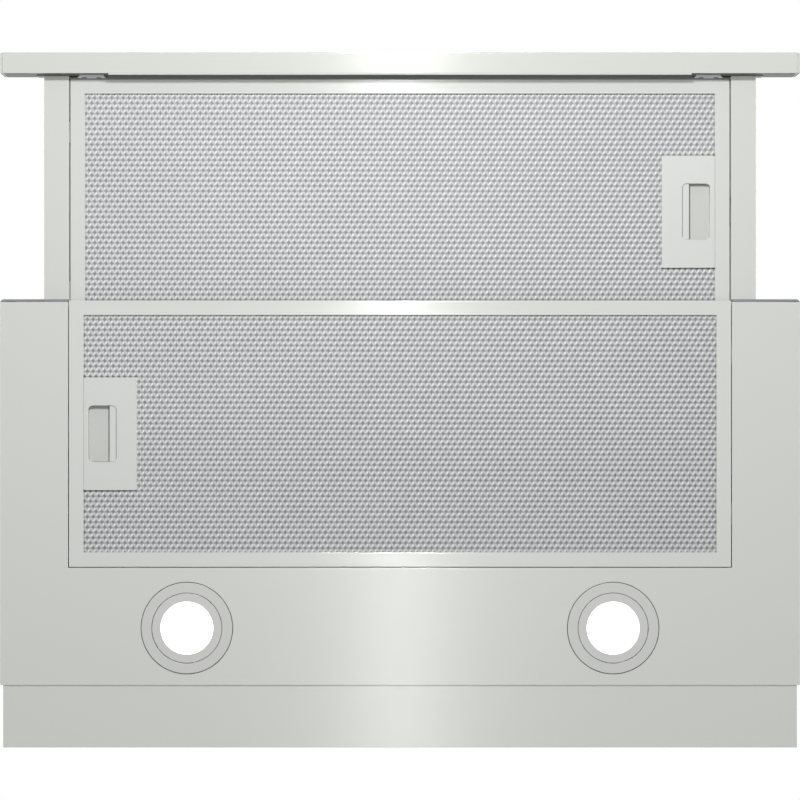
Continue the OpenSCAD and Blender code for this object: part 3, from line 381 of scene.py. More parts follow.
@dataclass(frozen=True)
class ZincSheet(Finish):
    """Hot-dip galvanised sheet; spangle is the size of its crystals in millimetres.

    contrast is the share by which dark and light crystals differ from the colour,
    and the sizes are those of its clouds, handling marks and skin.
    """

    spangle: float = 9.0
    contrast: float = 0.16
    cloud_size: float = 60.0
    mark_size: float = 1.6
    skin_size: float = 0.8

    def sockets(self, board: Board) -> dict:
        """Crystals differ in tone and gloss, under clouds and fine handling marks.

        Args:
            board: the material's node tree.

        Returns:
            What the shader's varying sockets get, by their names.
        """
        crystal = Number(board, board.cells(self.spangle))
        fine = Number(board, board.cells(self.spangle * 0.37))
        cloud = board.noise(self.cloud_size, 4)
        marks = board.noise(self.mark_size, 3, (1.0, 0.12, 1.0)).step(0.62, 0.74)
        tone = crystal * 0.55 + fine * 0.25 + cloud * 0.35 - marks * 0.12
        gloss = self.roughness + (crystal - 0.5) * 0.14 + (cloud - 0.5) * 0.12 + marks * 0.1
        skin = board.noise(self.skin_size, 2)
        return {
            "Base Color": board.blend(tone, *around(self.colour, self.contrast)),
            "Roughness": gloss,
            "Normal": board.bump(crystal * 0.4 + skin * 0.6, 0.02, 0.5),
        }


@dataclass(frozen=True)
class DrawnMetal(Finish):
    """Rolled or turned metal with fine and wide lines along its grain, and stains."""

    grain: Direction = Direction.ALONG_Y
    contrast: float = 0.12
    line_size: float = 0.5
    wide_size: float = 4.0
    stain_size: float = 22.0

    def sockets(self, board: Board) -> dict:
        """Lines along the grain tint the metal, dull it and scratch it.

        Args:
            board: the material's node tree.

        Returns:
            What the shader's varying sockets get, by their names.
        """
        lines = board.noise(self.line_size, 3, self.grain.value)
        wide = board.noise(self.wide_size, 3, self.grain.value)
        stain = board.noise(self.stain_size, 4)
        tone = lines * 0.5 + wide * 0.3 + stain * 0.2
        return {
            "Base Color": board.blend(tone, *around(self.colour, self.contrast)),
            "Roughness": self.roughness + (lines - 0.5) * 0.16 + (stain - 0.5) * 0.14,
            "Normal": board.bump(lines * 0.7 + wide * 0.3, 0.015, 0.6),
        }


@dataclass(frozen=True)
class ExpandedMetal(Finish):
    """Aluminium strands of the filters, with a painted highlight that brightens their ridges
    towards one colour.
    """

    highlight_colour: Colour = (0.828, 0.833, 0.843)
    contrast: float = 0.2
    strand_size: float = 3.1
    skin_size: float = 0.35
    patch_size: float = 45.0

    def sockets(self, board: Board) -> dict:
        """Strands differ in tone, a painted highlight brightens them along their ridges, and their
        skin is rough.

        Args:
            board: the material's node tree.

        Returns:
            What the shader's varying sockets get, by their names.
        """
        strand = board.noise(self.strand_size, 2)
        skin = board.noise(self.skin_size, 2)
        patch = board.noise(self.patch_size, 3)
        # Painted highlight: the mesh's attribute brightens the strands towards the bright colour.
        high = board.measure("painted_highlight").step(0.1, 0.9) * (0.75 + strand * 0.5)
        tone = (strand * 0.6 + skin * 0.2 + patch * 0.2) * 0.25 + high * 0.75
        return {
            "Base Color": board.blend(tone, tinted(self.colour, 1 - self.contrast), self.highlight_colour),
            "Roughness": self.roughness + (skin - 0.5) * 0.2,
            "Normal": board.bump(skin, 0.02, 0.5),
        }


@dataclass(frozen=True)
class MouldedPlastic(Finish):
    """Injection-moulded plastic; grain is the size of its texture in millimetres.

    relief is the depth of that texture, and flow the size of the clouds that the
    plastic's flow leaves.
    """

    grain: float = 0.7
    relief: float = 0.03
    flow: float = 35.0
    contrast: float = 0.12

    def sockets(self, board: Board) -> dict:
        """An eroded grain roughens it, and flow clouds tint it slightly.

        Args:
            board: the material's node tree.

        Returns:
            What the shader's varying sockets get, by their names.
        """
        grain = board.noise(self.grain, 3)
        pits = Number(board, board.cells(self.grain * 0.8, "Distance"))
        flow = board.noise(self.flow, 3)
        tone = flow * 0.7 + grain * 0.3
        return {
            "Base Color": board.blend(tone, *around(self.colour, self.contrast)),
            "Roughness": self.roughness + (grain - 0.5) * 0.14 + (flow - 0.5) * 0.08,
            "Normal": board.bump(grain * 0.6 + pits * 0.4, self.relief, 0.7),
        }


@dataclass(frozen=True)
class Opal(Finish):
    """Opal glass of a lit lamp; glow is its brightness and haze the size of its clouds."""

    glow: float = 1.6
    haze: float = 6.0
    cool: Colour = (0.97, 0.98, 1.0)

    def sockets(self, board: Board) -> dict:
        """Glows white, a little uneven through the opal.

        Args:
            board: the material's node tree.

        Returns:
            What the shader's varying sockets get, by their names.
        """
        haze = board.noise(self.haze, 3)
        return {
            "Base Color": board.blend(haze, tinted(self.colour, 0.97), self.colour),
            "Emission Color": board.blend(haze, self.cool, WHITE),
            "Emission Strength": self.glow,
            "Roughness": self.roughness + (haze - 0.5) * 0.1,
        }


SILVER = Paint("silver_baked_paint", Slot.SILVER_PAINT, (0.7, 0.717, 0.676), 0.13, 0.12)
PANEL = Paint("front_panel_paint", Slot.SILVER_PAINT, (0.685, 0.702, 0.662), 0.108, 0.12)
TRIM = Paint("lamp_trim_paint", Slot.SILVER_PAINT, (0.65, 0.658, 0.632), 0.3, 0.08)
CASSETTE = Paint("cassette_frame_paint", Slot.FILTER_PAINT, (0.712, 0.734, 0.7), 0.11, 0.12)
# The handle's darker second colour paints shade on the floor of the finger recess.
HANDLE = Paint("handle_plate_paint", Slot.HANDLE_PAINT, (0.68, 0.703, 0.672), 0.3, 0.05,
               shaded_colour=(0.615, 0.634, 0.603))
# Dark grey that paints the shade on the front bar behind the panel.
BAR_PAINTED_SHADE = Paint("front_bar_painted_shade", Slot.SILVER_PAINT, (0.27, 0.275, 0.26), 0.6)
STRAND = ExpandedMetal(
    "aluminium_strands", Slot.MESH_METAL, (0.418, 0.423, 0.432), 0.5, 0.1)
# Dark colour of the pad that paints the shade of deeper mesh layers seen through the holes.
PAD_PAINTED_SHADE = ExpandedMetal(
    "aluminium_pad_painted_shade", Slot.MESH_METAL, (0.233, 0.237, 0.243), 0.5, 0.4)
ZINC = ZincSheet("galvanised_sheet", Slot.ZINC_SHEET, (0.5, 0.505, 0.525), 0.42, 0.85)
# Zinc raised to near white, which paints light on the flanges in the panel's shade.
BRACKET_PAINTED_LIGHT = ZincSheet("bracket_zinc_painted_light", Slot.ZINC_SHEET, (0.84, 0.82, 0.92), 0.5, 0.2, 4.0, 0.08)
# Near-white zinc that paints highlights on the brackets' folds.
FOLD_PAINTED_HIGHLIGHT = ZincSheet("fold_zinc_painted_highlight", Slot.ZINC_SHEET, (0.85, 0.85, 0.87), 0.4, 0.3, 4.0, 0.06)
RAIL = DrawnMetal("slide_rail_zinc", Slot.ZINC_RAIL, (0.56, 0.56, 0.58), 0.32, 0.95)
SCREW = DrawnMetal(
    "screw_steel", Slot.SCREW_STEEL, (0.5, 0.5, 0.5), 0.3, 0.95, Direction.ROUND)
MOTOR = DrawnMetal(
    "motor_can_zinc", Slot.MOTOR_ZINC, (0.45, 0.45, 0.46), 0.45, 0.9, Direction.ALONG_X)
OPAL = Opal("lit_opal_lens", Slot.LAMP_OPAL, (0.9, 0.9, 0.9), 0.25)
CAP = MouldedPlastic("grey_cap_plastic", Slot.CAP_PLASTIC, (0.268, 0.27, 0.29), 0.45)
BLOWER = MouldedPlastic(
    "blower_case_plastic", Slot.BLOWER_PLASTIC, (0.06, 0.06, 0.065), 0.5, grain=1.1)
FOAM = MouldedPlastic(
    "grey_sealing_foam", Slot.CAP_PLASTIC, (0.34, 0.345, 0.335), 0.9, grain=1.4, relief=0.1)
# Grey of the edge seals, also used for the strip that paints the latch lip's shadow.
SEAL_AND_SHADE_GREY = MouldedPlastic(
    "grey_seal_and_painted_shade", Slot.CAP_PLASTIC, (0.27, 0.275, 0.27), 0.7, grain=1.0, relief=0.02)
DARK = MouldedPlastic("dark_plastic", Slot.DARK_PLASTIC, (0.03, 0.03, 0.033), 0.45)
MARK = MouldedPlastic(
    "key_mark_print", Slot.KEY_PLASTIC, (0.62, 0.62, 0.62), 0.4, grain=0.4, relief=0.01)
KEY = MouldedPlastic(
    "key_plastic", Slot.KEY_PLASTIC, (0.2, 0.2, 0.21), 0.38, grain=0.5, relief=0.015)


class Point(NamedTuple):
    """A point or a size in millimetres."""

    x: float
    y: float
    z: float


@dataclass(frozen=True)
class Extent:
    """A CAD node's box in millimetres: its two corners, its middle and half its size."""

    low: Point
    high: Point
    middle: Point
    half: Point

    @classmethod
    def of(cls, node: str) -> "Extent":
        """Measures a CAD node.

        Args:
            node: the node's name.

        Returns:
            Its box.
        """
        low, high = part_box(node)
        sides = list(zip(low, high))
        return cls(Point(*(a / MM for a in low)), Point(*(b / MM for b in high)),
                   Point(*((a + b) / 2 / MM for a, b in sides)),
                   Point(*((b - a) / 2 / MM for a, b in sides)))


@dataclass
class Surface:
    """Points in millimetres, and faces as one array for each number of corners."""

    points: np.ndarray
    faces: list[np.ndarray]

    def moved(self, place: Place) -> "Surface":
        """The surface, shifted."""
        return Surface(self.points + np.array(place), self.faces)

    def turned_about(self) -> "Surface":
        """The surface, turned by 180 degrees about Z."""
        return Surface(self.points * np.array([-1.0, -1.0, 1.0]), self.faces)

    def mapped(self, x: int, y: int, z: int) -> "Surface":
        """The surface with its axes taken in another, right-handed order."""
        return Surface(self.points[:, [x, y, z]], self.faces)


def together(parts: list[Surface]) -> Surface:
    """Joins surfaces into one.

    Args:
        parts: the surfaces.

    Returns:
        One surface that holds all their points and faces.
    """
    starts = np.cumsum([0] + [len(part.points) for part in parts[:-1]])
    faces = [some + start for part, start in zip(parts, starts) for some in part.faces]
    return Surface(np.vstack([part.points for part in parts]), faces)


def grid_quads(rows: int, columns: int, close_rows: bool, close_columns: bool) -> np.ndarray:
    """Quads between the neighbours of a grid whose points are stored row by row.

    Args:
        rows: how many rows the grid has.
        columns: how many points each row has.
        close_rows: whether the last row joins the first.
        close_columns: whether each row's last point joins its first.

    Returns:
        One row of four point numbers for each quad.
    """
    r = np.arange(rows if close_rows else rows - 1)[:, None]
    c = np.arange(columns if close_columns else columns - 1)[None, :]
    r2, c2 = (r + 1) % rows, (c + 1) % columns
    quads = np.stack([r * columns + c, r * columns + c2, r2 * columns + c2, r2 * columns + c], -1)
    return quads.reshape(-1, 4)


def end_caps(rows: int, columns: int) -> np.ndarray:
    """One face over a closed grid's first row and one over its last."""
    ring = np.arange(columns)
    return np.vstack([ring[::-1], ring + (rows - 1) * columns])


def circle(count: int) -> np.ndarray:
    """The angles of a number of points spread evenly round a circle."""
    return np.linspace(0, 2 * math.pi, count, endpoint=False)


def unit(rows: np.ndarray) -> np.ndarray:
    """Rows of vectors, each brought to length 1."""
    return rows / np.linalg.norm(rows, axis=1, keepdims=True)


def at_level(outline: np.ndarray, z: float) -> np.ndarray:
    """The points of a flat outline at one height."""
    return np.column_stack([outline, np.full(len(outline), z)])


def filleted(corners: np.ndarray, radii: float | np.ndarray, steps: int = 4) -> np.ndarray:
    """Rounds the corners of a closed outline.

    A corner becomes an arc that touches both its edges: its centre lies on the
    corner's bisector at radius / sin(half angle), and it starts and ends at
    radius / tan(half angle) from the corner.

    Args:
        corners: the outline's corners, one row each.
        radii: one radius, or one for each corner.
        steps: how many pieces each arc has.

    Returns:
        The outline with steps + 1 points at each corner.
    """
    radii = np.broadcast_to(np.asarray(radii, float), len(corners))[:, None]
    back = unit(np.roll(corners, 1, 0) - corners)
    ahead = unit(np.roll(corners, -1, 0) - corners)
    half = np.arccos(np.clip((back * ahead).sum(1, keepdims=True), -1, 1)) / 2
    first = corners + back * radii / np.tan(half)
    last = corners + ahead * radii / np.tan(half)
    middle = corners + unit(back + ahead) * radii / np.sin(half)
    sweep = math.pi - 2 * half
    t = np.linspace(0, 1, steps + 1)[None, :, None]
    a, b = (first - middle)[:, None], (last - middle)[:, None]
    angle = sweep[:, None]
    arc = (np.sin((1 - t) * angle) * a + np.sin(t * angle) * b) / np.sin(angle)
    return (middle[:, None] + arc).reshape(-1, corners.shape[1])


def rectangle(half_x: float, half_y: float, radius: float, steps: int = 4) -> np.ndarray:
    """Outline of a rectangle about the origin with round corners, anticlockwise."""
    corners = np.array([[1, 1], [-1, 1], [-1, -1], [1, -1]]) * [half_x, half_y]
    return filleted(corners, radius, steps)


def slab(outline: np.ndarray, low: float, high: float, edge: float = 0.15) -> Surface:
    """A flat plate with softened edges.

    The outline is carried up from low to high; its first and last ring are drawn in
    by edge, so that a small chamfer runs round the plate.

    Args:
        outline: the plate's outline, anticlockwise, one row of X and Y for each point.
        low: height of the underside.
        high: height of the top.
        edge: size of the chamfer.

    Returns:
        The closed surface.
    """
    ahead = unit(np.roll(outline, -1, 0) - outline)
    behind = unit(outline - np.roll(outline, 1, 0))
    normal = np.stack([ahead[:, 1] + behind[:, 1], -ahead[:, 0] - behind[:, 0]], 1)
    normal /= (1 + (ahead * behind).sum(1, keepdims=True))
    inner = outline - normal * edge
    rings = [(inner, low), (outline, low + edge), (outline, high - edge), (inner, high)]
    points = np.vstack([at_level(ring, z) for ring, z in rings])
    size = (len(rings), len(outline))
    return Surface(points, [grid_quads(*size, False, True), end_caps(*size)])


def brick(low: Place, high: Place, edge: float = 0.15) -> Surface:
    """A block between two corners with softened edges.

    Args:
        low: the corner at the least x, y and z.
        high: the opposite corner.
        edge: the radius of its edges.

    Returns:
        The block.
    """
    (x0, y0, z0), (x1, y1, z1) = low, high
    outline = np.array([[x0, y0], [x1, y0], [x1, y1], [x0, y1]])
    return slab(filleted(outline, edge, 1), z0, z1, edge)


def revolved(profile: np.ndarray, count: int = 96) -> Surface:
    """Turns a closed profile about Z.

    A profile point at radius r and height z goes to (r cos a, r sin a, z) for count
    angles a round the axis.

    Args:
        profile: rows of radius and height, anticlockwise where radius runs right.
        count: how many angles the turn has.

    Returns:
        The closed surface.
    """
    a = circle(count)[:, None]
    r, z = profile[:, 0][None], profile[:, 1][None]
    points = np.stack([r * np.cos(a), r * np.sin(a), z + 0 * a], -1).reshape(-1, 3)
    return Surface(points, [grid_quads(count, len(profile), True, True)[:, ::-1]])


def dome(profile: np.ndarray, count: int = 48) -> Surface:
    """Turns an open profile about Z and closes both its ends.

    The points go to (r cos a, r sin a, z), and the first and the last ring are each
    filled by one face.

    Args:
        profile: rows of radius and height, from the bottom's middle out and up to the top's.
        count: how many angles the turn has.

    Returns:
        The closed surface.
    """
    a = circle(count)[None]
    r, z = profile[:, 0][:, None], profile[:, 1][:, None]
    points = np.stack([r * np.cos(a), r * np.sin(a), z + 0 * a], -1).reshape(-1, 3)
    size = (len(profile), count)
    return Surface(points, [grid_quads(*size, False, True), end_caps(*size)])


def tube(path: np.ndarray, radius: float, sides: int = 8) -> Surface:
    """Carries a circle along an open path.

    At each point the circle lies across the path's direction d, on the axes u and v,
    where u is d turned square to X and v = d x u.

    Args:
        path: rows of X, Y and Z.
        radius: the circle's radius.
        sides: how many points the circle has.

    Returns:
        The closed surface, with a face over each end.
    """
    d = unit(np.gradient(path, axis=0))
    u = unit(np.cross(d, [1.0, 0.0, 0.0]))
    v = np.cross(d, u)
    a = circle(sides)[None, :, None]
    ring = np.cos(a) * u[:, None] + np.sin(a) * v[:, None]
    points = (path[:, None] + radius * ring).reshape(-1, 3)
    size = (len(path), sides)
    return Surface(points, [grid_quads(*size, False, True), end_caps(*size)])


def in_scene(name: str, data: bpy.types.ID) -> bpy.types.Object:
    """Makes an object of a mesh, a lamp or a camera, and puts it into the scene.

    Args:
        name: the object's name.
        data: its mesh, lamp or camera.

    Returns:
        The object.
    """
    obj = bpy.data.objects.new(name, data)
    bpy.context.scene.collection.objects.link(obj)
    return obj


class Workshop:
    """Turns surfaces and CAD copies into finished objects that ride on the frame."""

    @staticmethod
    def coat(obj: bpy.types.Object, finish: Finish) -> None:
        """Gives an object a finish as its only material."""
        obj.data.materials.clear()
        obj.data.materials.append(finish.material())

    @classmethod
    def finish(cls, obj: bpy.types.Object, finish: Finish, body: str,
               replaces: tuple[str, ...], flat: bool = True) -> bpy.types.Object:
        """Gives an object its material, its body and the CAD nodes it stands for.

        Args:
            obj: the object, in place.
            finish: its finish.
            body: the name of the CAD body that carries it.
            replaces: the CAD nodes it replaces.
            flat: whether large faces are shaded flat up to their rounded edges.

        Returns:
            The same object.
        """
        if flat:
            weighted = obj.modifiers.new("flat_faces", "WEIGHTED_NORMAL")
            weighted.keep_sharp = True
        cls.coat(obj, finish)
        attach(obj, body)
        if replaces:
            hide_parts(*replaces)
        log.info("%s rides on %s", obj.name, body)
        return obj

    @staticmethod
    def bevel(obj: bpy.types.Object, width: float) -> None:
        """Rounds an object's sharp edges by a width in millimetres.

        Args:
            obj: the object.
            width: how far the rounding reaches from an edge.
        """
        bevel = obj.modifiers.new("soft_edges", "BEVEL")
        bevel.width = width * MM
        bevel.segments = 2
        bevel.limit_method = "ANGLE"
        bevel.angle_limit = math.radians(32)
        bevel.use_clamp_overlap = False

    @classmethod
    def build(cls, name: str, surface: Surface, finish: Finish, body: str,
              replaces: tuple[str, ...] = (), sharp: float = 35.0,
              flat: bool = True) -> bpy.types.Object:
        """Makes an object from a surface.

        Args:
            name: the object's name.
            surface: its shape, in millimetres in the hood's frame.
            finish: its finish.
            body: the body that carries it.
            replaces: the CAD nodes that it stands for.
            sharp: edges that turn by more degrees than this stay sharp in shading.
            flat: whether large faces are shaded flat up to their rounded edges.

        Returns:
            The finished object.
        """
        mesh = bpy.data.meshes.new(name)
        faces = [face for some in surface.faces for face in some.tolist()]
        mesh.from_pydata((surface.points * MM).tolist(), [], faces)
        mesh.shade_smooth()
        mesh.set_sharp_from_angle(angle=math.radians(sharp))
        return cls.finish(in_scene(name, mesh), finish, body, replaces, flat)

    @classmethod
    def soften(cls, node: str, finish: Finish, width: float,
               shade: Shade | None = None) -> bpy.types.Object:
        """Copies a CAD node, merges the copy's faces and rounds its edges.

        Args:
            node: the CAD node that the copy stands for.
            finish: the copy's finish.
            width: width of the rounded edges in millimetres.
            shade: gives each face's attribute "inside" from all centres and normals.

        Returns:
            The finished copy.
        """
        source = frame["nodes"][node]
        mesh = source.data.copy()
        work = bmesh.new()
        work.from_mesh(mesh)
        bmesh.ops.remove_doubles(work, verts=work.verts, dist=1e-6)
        bmesh.ops.dissolve_limit(
            work, angle_limit=math.radians(0.4), verts=work.verts, edges=work.edges)
        work.to_mesh(mesh)
        work.free()
        if "custom_normal" in mesh.attributes:
            mesh.attributes.remove(mesh.attributes["custom_normal"])
        mesh.shade_smooth()
        if shade is not None:
            centres, normals = np.empty((2, len(mesh.polygons) * 3), np.float32)
            mesh.polygons.foreach_get("center", centres)
            mesh.polygons.foreach_get("normal", normals)
            inside = shade(centres.reshape(-1, 3) / MM, normals.reshape(-1, 3))
            mesh.attributes.new("inside", "FLOAT", "FACE").data.foreach_set(
                "value", inside.astype(np.float32))
        obj = in_scene(node + "_soft", mesh)
        cls.bevel(obj, width)
        return cls.finish(obj, finish, source["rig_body"], (node,))

    @classmethod
    def keep(cls, node: str, finish: Finish) -> None:
        """Gives a CAD node that keeps its own shape a finish."""
        cls.coat(frame["nodes"][node], finish)
        log.info("%s keeps its CAD shape", node)


@dataclass
class Studio:
    """Camera, lamps, world and floor; lengths in millimetres.

    The lights are radiances, where 1 looks white.
    """

    camera_y: float = -69.85
    camera_drop: float = 3291.0
    lens: float = 195.66
    floor_z: float = -5000.0
    floor_half: float = 60000.0
    floor_light: float = 0.66
    floor_tones: tuple[float, float] = (0.56, 0.6)
    ambient: float = 0.54
    key_place: Place = (0.0, -690.0, -1241.0)
    key_size: float = 120.0
    key_light: float = 256.0
    strip_drop: float = 60.0
    strip_front: float = -1300.0
    strip_rear: float = 900.0
    strip_width: float = 60.0
    strip_light: float = 9.4
    rear_light: float = 6.2
    wide_width: float = 400.0
    wide_light: float = 0.14
    top_z: float = 3000.0
    top_size: float = 2000.0
    top_light: float = 1.2

    def camera(self) -> None:
        """Makes the camera below the hood, looking straight up with the front at the top."""
        data = bpy.data.cameras.new("view_from_below")
        data.lens = self.lens
        data.sensor_width = 36.0
        data.clip_start, data.clip_end = 0.1, 60.0
        camera = in_scene("view_from_below", data)
        camera.location = (0.0, self.camera_y * MM, -self.camera_drop * MM)
        camera.rotation_euler = (math.pi, 0.0, 0.0)
        bpy.context.scene.camera = camera

    def world(self) -> None:
        """Lights the hood evenly, and shows white to the camera and in reflections."""
        world = bpy.data.worlds.new("plain_room")
        bpy.context.scene.world = world
        world.use_nodes = True
        board = Board(world.node_tree)
        strength = self.ambient + board.seen() * (1 - self.ambient)
        values = {"Color": (*WHITE, 1.0), "Strength": strength}
        white = board.node("ShaderNodeBackground", None, values)
        board.node("ShaderNodeOutputWorld", None, {"Surface": white.outputs[0]})

    def lamp(self, name: str, place: Place, aim: Place, size: tuple[float, float],
             radiance: float) -> None:
        """Makes a rectangular lamp that the camera doesn't see.

        Args:
            name: the lamp's name.
            place: its middle.
            aim: the point that it faces.
            size: its width and length.
            radiance: its brightness, where 1 looks white.
        """
        data = bpy.data.lights.new(name, "AREA")
        data.shape = "RECTANGLE"
        data.size, data.size_y = size[0] * MM, size[1] * MM
        data.energy = radiance * math.pi * data.size * data.size_y
        lamp = in_scene(name, data)
        lamp.location = Vector(place) * MM
        lamp.rotation_euler = (Vector(aim) - Vector(place)).to_track_quat("-Z", "Y").to_euler()
        lamp.visible_camera = False

    def lamps(self) -> None:
        """Makes the key lamp below the hood's front, the strips and the top lamp.

        The painted sheet mirrors the two narrow strips behind the camera as one band
        along its middle, brighter towards the front.
        """
        x, y, _ = self.key_place
        self.lamp("key_lamp", self.key_place, (x, y, 0.0), (self.key_size, self.key_size),
                  self.key_light)
        drop, front, rear = -self.camera_drop - self.strip_drop, self.strip_front, self.strip_rear
        for name, start, end, width, light in (
            ("front_strip", front, 0.0, self.strip_width, self.strip_light),
            ("rear_strip", 0.0, rear, self.strip_width, self.rear_light),
            ("wide_strip", front, rear, self.wide_width, self.wide_light),
        ):
            middle = (start + end) / 2
            self.lamp(name, (0.0, middle, drop), (0.0, middle, 0.0), (width, end - start), light)
        self.lamp("top_lamp", (0.0, 0.0, self.top_z), (0.0, 0.0, 0.0),
                  (self.top_size, self.top_size), self.top_light)

    def floor(self) -> None:
        """Lays a pale, faintly mottled floor far below the camera."""
        mesh = bpy.data.meshes.new("floor")
        corners = np.array([[-1, -1], [1, -1], [1, 1], [-1, 1]]) * self.floor_half * MM
        mesh.from_pydata(at_level(corners, self.floor_z * MM).tolist(), [], [[0, 1, 2, 3]])
        material = bpy.data.materials.new("pale_floor")
        material.use_nodes = True
        board = Board(material.node_tree)
        dark, light = (tinted(WHITE, tone) for tone in self.floor_tones)
        board.principled({
            "Base Color": board.blend(board.noise(700, 3), dark, light),
            "Roughness": 0.8,
            "Emission Color": board.blend(board.seen(), BLACK, tinted(WHITE, self.floor_light)),
            "Emission Strength": 1.0,
        })
        mesh.materials.append(material)
        in_scene("floor", mesh)

    def build(self) -> None:
        """Sets up the whole studio."""
        self.camera()
        self.world()
        self.lamps()
        self.floor()
        bpy.context.scene.view_settings.view_transform = "Standard"
        log.info("studio is set up")


@dataclass
class Cassette:
    """A filter cassette: frame, strands, pad, handle, latch and spring.

    Its own place has the middle of its underside at the origin and its handle
    towards -X. The front cassette is turned about. slip is the play between its
    pieces, and tuck how far the strands reach under the frame's border.
    """

    side: str
    body: str
    turned: bool
    half_x: float = 247.6
    half_y: float = 99.6
    height: float = 9.0
    sheet: float = 0.8
    slip: float = 0.15
    border: float = 11.0
    tuck: tuple[float, float] = (1.2, 1.6)
    pitch: float = 4.291
    row: float = 3.886
    swing: float = 1.3
    strand_w: float = 3.75
    strand_t: float = 0.35
    lean: float = 0.12
    strand_z: float = 2.2
    pad_rise: float = 0.75
    pad_gap: float = 0.3
    grip_x: float = -236.5
    grip_w: float = 39.8
    grip_half: float = 42.15
    grip_r: float = 1.2
    recess_x: float = -232.8
    recess_w: float = 20.8
    recess_half: float = 21.1
    recess_r: float = 3.2
    skirt_z: float = 5.0
    skirt_end: float = 6.4
    skirt_slope: float = 1.5
    skirt_t: float = 0.6
    wall: float = 1.0
    stop_gap: float = 4.5
    back_z: float = 6.6
    spring_turns: int = 9
    spring_r: float = 0.95
    spring_lift: float = 0.45
    wire: float = 0.2
    latch_travel: float = 3.5
    latch_floor: float = 2.5
    lip_x: float = -217.2
    # The next two fields size the dark strip beside the slider's lip that paints the lip's shadow.
    fold_w: float = 1.15
    shade_strip_drop: tuple[float, float] = (1.42, 1.2)

    def in_place(self, surface: Surface) -> Surface:
        """Moves a surface from the cassette's own place to the hood's frame.

        Args:
            surface: the surface, round the cassette's middle and above its underside.

        Returns:
            The surface in its place.
        """
        frame_box = Extent.of(f"{self.side}_filter_frame")
        place = (0.0, frame_box.middle.y, frame_box.low.z)
        return (surface.turned_about() if self.turned else surface).moved(place)

    @property
    def grip_end(self) -> float:
        """X of the handle's edge towards the mesh."""
        return self.grip_x + self.grip_w

    @property
    def roof(self) -> float:
        """Z of the underside of the cassette's upper sheet, less the play."""
        return self.height - self.sheet - self.slip

    def strands(self) -> tuple[Surface, np.ndarray]:
        """The outer layer of expanded metal.

        Strand j runs along X at y = j * row + (-1)^j * swing * cos(2 pi x / pitch), so
        that neighbours overlap once in each pitch and leave holes between. Its section
        is a flat lens that leans by lean millimetres in each millimetre across, with
        its edge towards the wall lower, so that the strands lie like shingles. A
        painted highlight of 0.5 lies along its lower ridge, and rises with the third
        power of (-1)^j * sin(2 pi x / pitch) on one leg in two, more towards the
        hood's left.

        Returns:
            The surface, and the painted highlight at each of its points.
        """
        reach_x = self.half_x - self.border + self.tuck[0]
        reach_y = self.half_y - self.border + self.tuck[1]
        count = int(reach_x / self.pitch * 4)
        x = np.arange(-count, count + 1) * self.pitch / 4
        rows = int(2 * reach_y / self.row)
        j = np.arange(rows)
        phase = 2 * math.pi * x / self.pitch
        sign = np.where(j % 2, -1.0, 1.0)[:, None]
        y = (j[:, None] - (rows - 1) / 2) * self.row + sign * self.swing * np.cos(phase)
        across = np.array([-0.5, 0.0, 0.5, 0.0]) * self.strand_w
        rise = np.array([0.0, -0.5, 0.0, 0.5]) * self.strand_t
        lean = self.lean if self.turned else -self.lean
        shape = (rows, len(x), 4)
        grid = np.stack([
            np.broadcast_to(x[None, :, None], shape), y[:, :, None] + across,
            np.broadcast_to(self.strand_z + rise + lean * across, shape)], -1)
        one = grid_quads(len(x), 4, False, True)
        faces = (one[None] + (np.arange(rows) * len(x) * 4)[:, None, None]).reshape(-1, 4)
        points = grid.reshape(-1, 3)
        middle = points[faces].mean(1)
        behind_handle = (middle[:, 0] < self.grip_end - self.wall) \
            & (np.abs(middle[:, 1]) < self.grip_half - self.wall)
        # A painted highlight along the lower ridge, stronger on one leg in two.
        ridge = np.array([0.0, 1.0, 0.0, 0.0])
        leg = 0.5 + (0.25 if self.turned else -0.25) * x / reach_x
        painted_highlight = (0.5 + leg * np.clip(sign * np.sin(phase), 0, 1) ** 3)[:, :, None] * ridge
        return Surface(points, [faces[~behind_handle]]), painted_highlight.reshape(-1)

    def pad(self) -> Surface:
        """The pad behind the strands, cut out round the handle; its dark colour paints the shade of
        the deeper mesh layers.

        Its outline is a rectangle with a notch, carried up from just above the
        strands to the upper side's sheet.

        Returns:
            The pad, in the cassette's own place.
        """
        x, y = self.half_x - self.sheet - self.slip, self.half_y - self.sheet - self.slip
        end, side = self.grip_end + self.pad_gap, self.grip_half + self.pad_gap
        outline = np.array([[-x, -y], [x, -y], [x, y], [-x, y], [-x, side], [end, side],
                            [end, -side], [-x, -side]])
        return slab(filleted(outline, 0.3, 2), self.strand_z + self.pad_rise, self.roof, 0.3)

    def handle_plate(self) -> Surface:
        """The plate with its finger recess, as rings of round-cornered rectangles.

        The rings run from the recess's skirt over its rolled edge, across the plate,
        over the outer edge and back above the plate, each at its own height. The
        skirt is deep at the end away from the slider's lip and only as thick as the
        plate beside the lip.

        Returns:
            The plate, in the cassette's own place.
        """
        steps, sheet, skirt_t = 6, self.sheet, self.skirt_t

        def recess(grow: float, z: float) -> np.ndarray:
            """The recess's outline, grown by a width.

            Args:
                grow: the width.
                z: the ring's height.

            Returns:
                The ring's points.
            """
            half, length = self.recess_w / 2 + grow, self.recess_half + grow
            outline = rectangle(half, length, self.recess_r + grow, steps)
            return at_level(outline + [self.recess_x + self.recess_w / 2, 0.0], z)

        def edge(shrink: float, z: float) -> np.ndarray:
            """The plate's outline, shrunk by a width.

            Args:
                shrink: the width.
                z: the ring's height.

            Returns:
                The ring's points.
            """
            half, length = self.grip_w / 2 - shrink, self.grip_half - shrink
            outline = rectangle(half, length, self.grip_r - shrink, steps)
            return at_level(outline + [self.grip_x + self.grip_w / 2, 0.0], z)

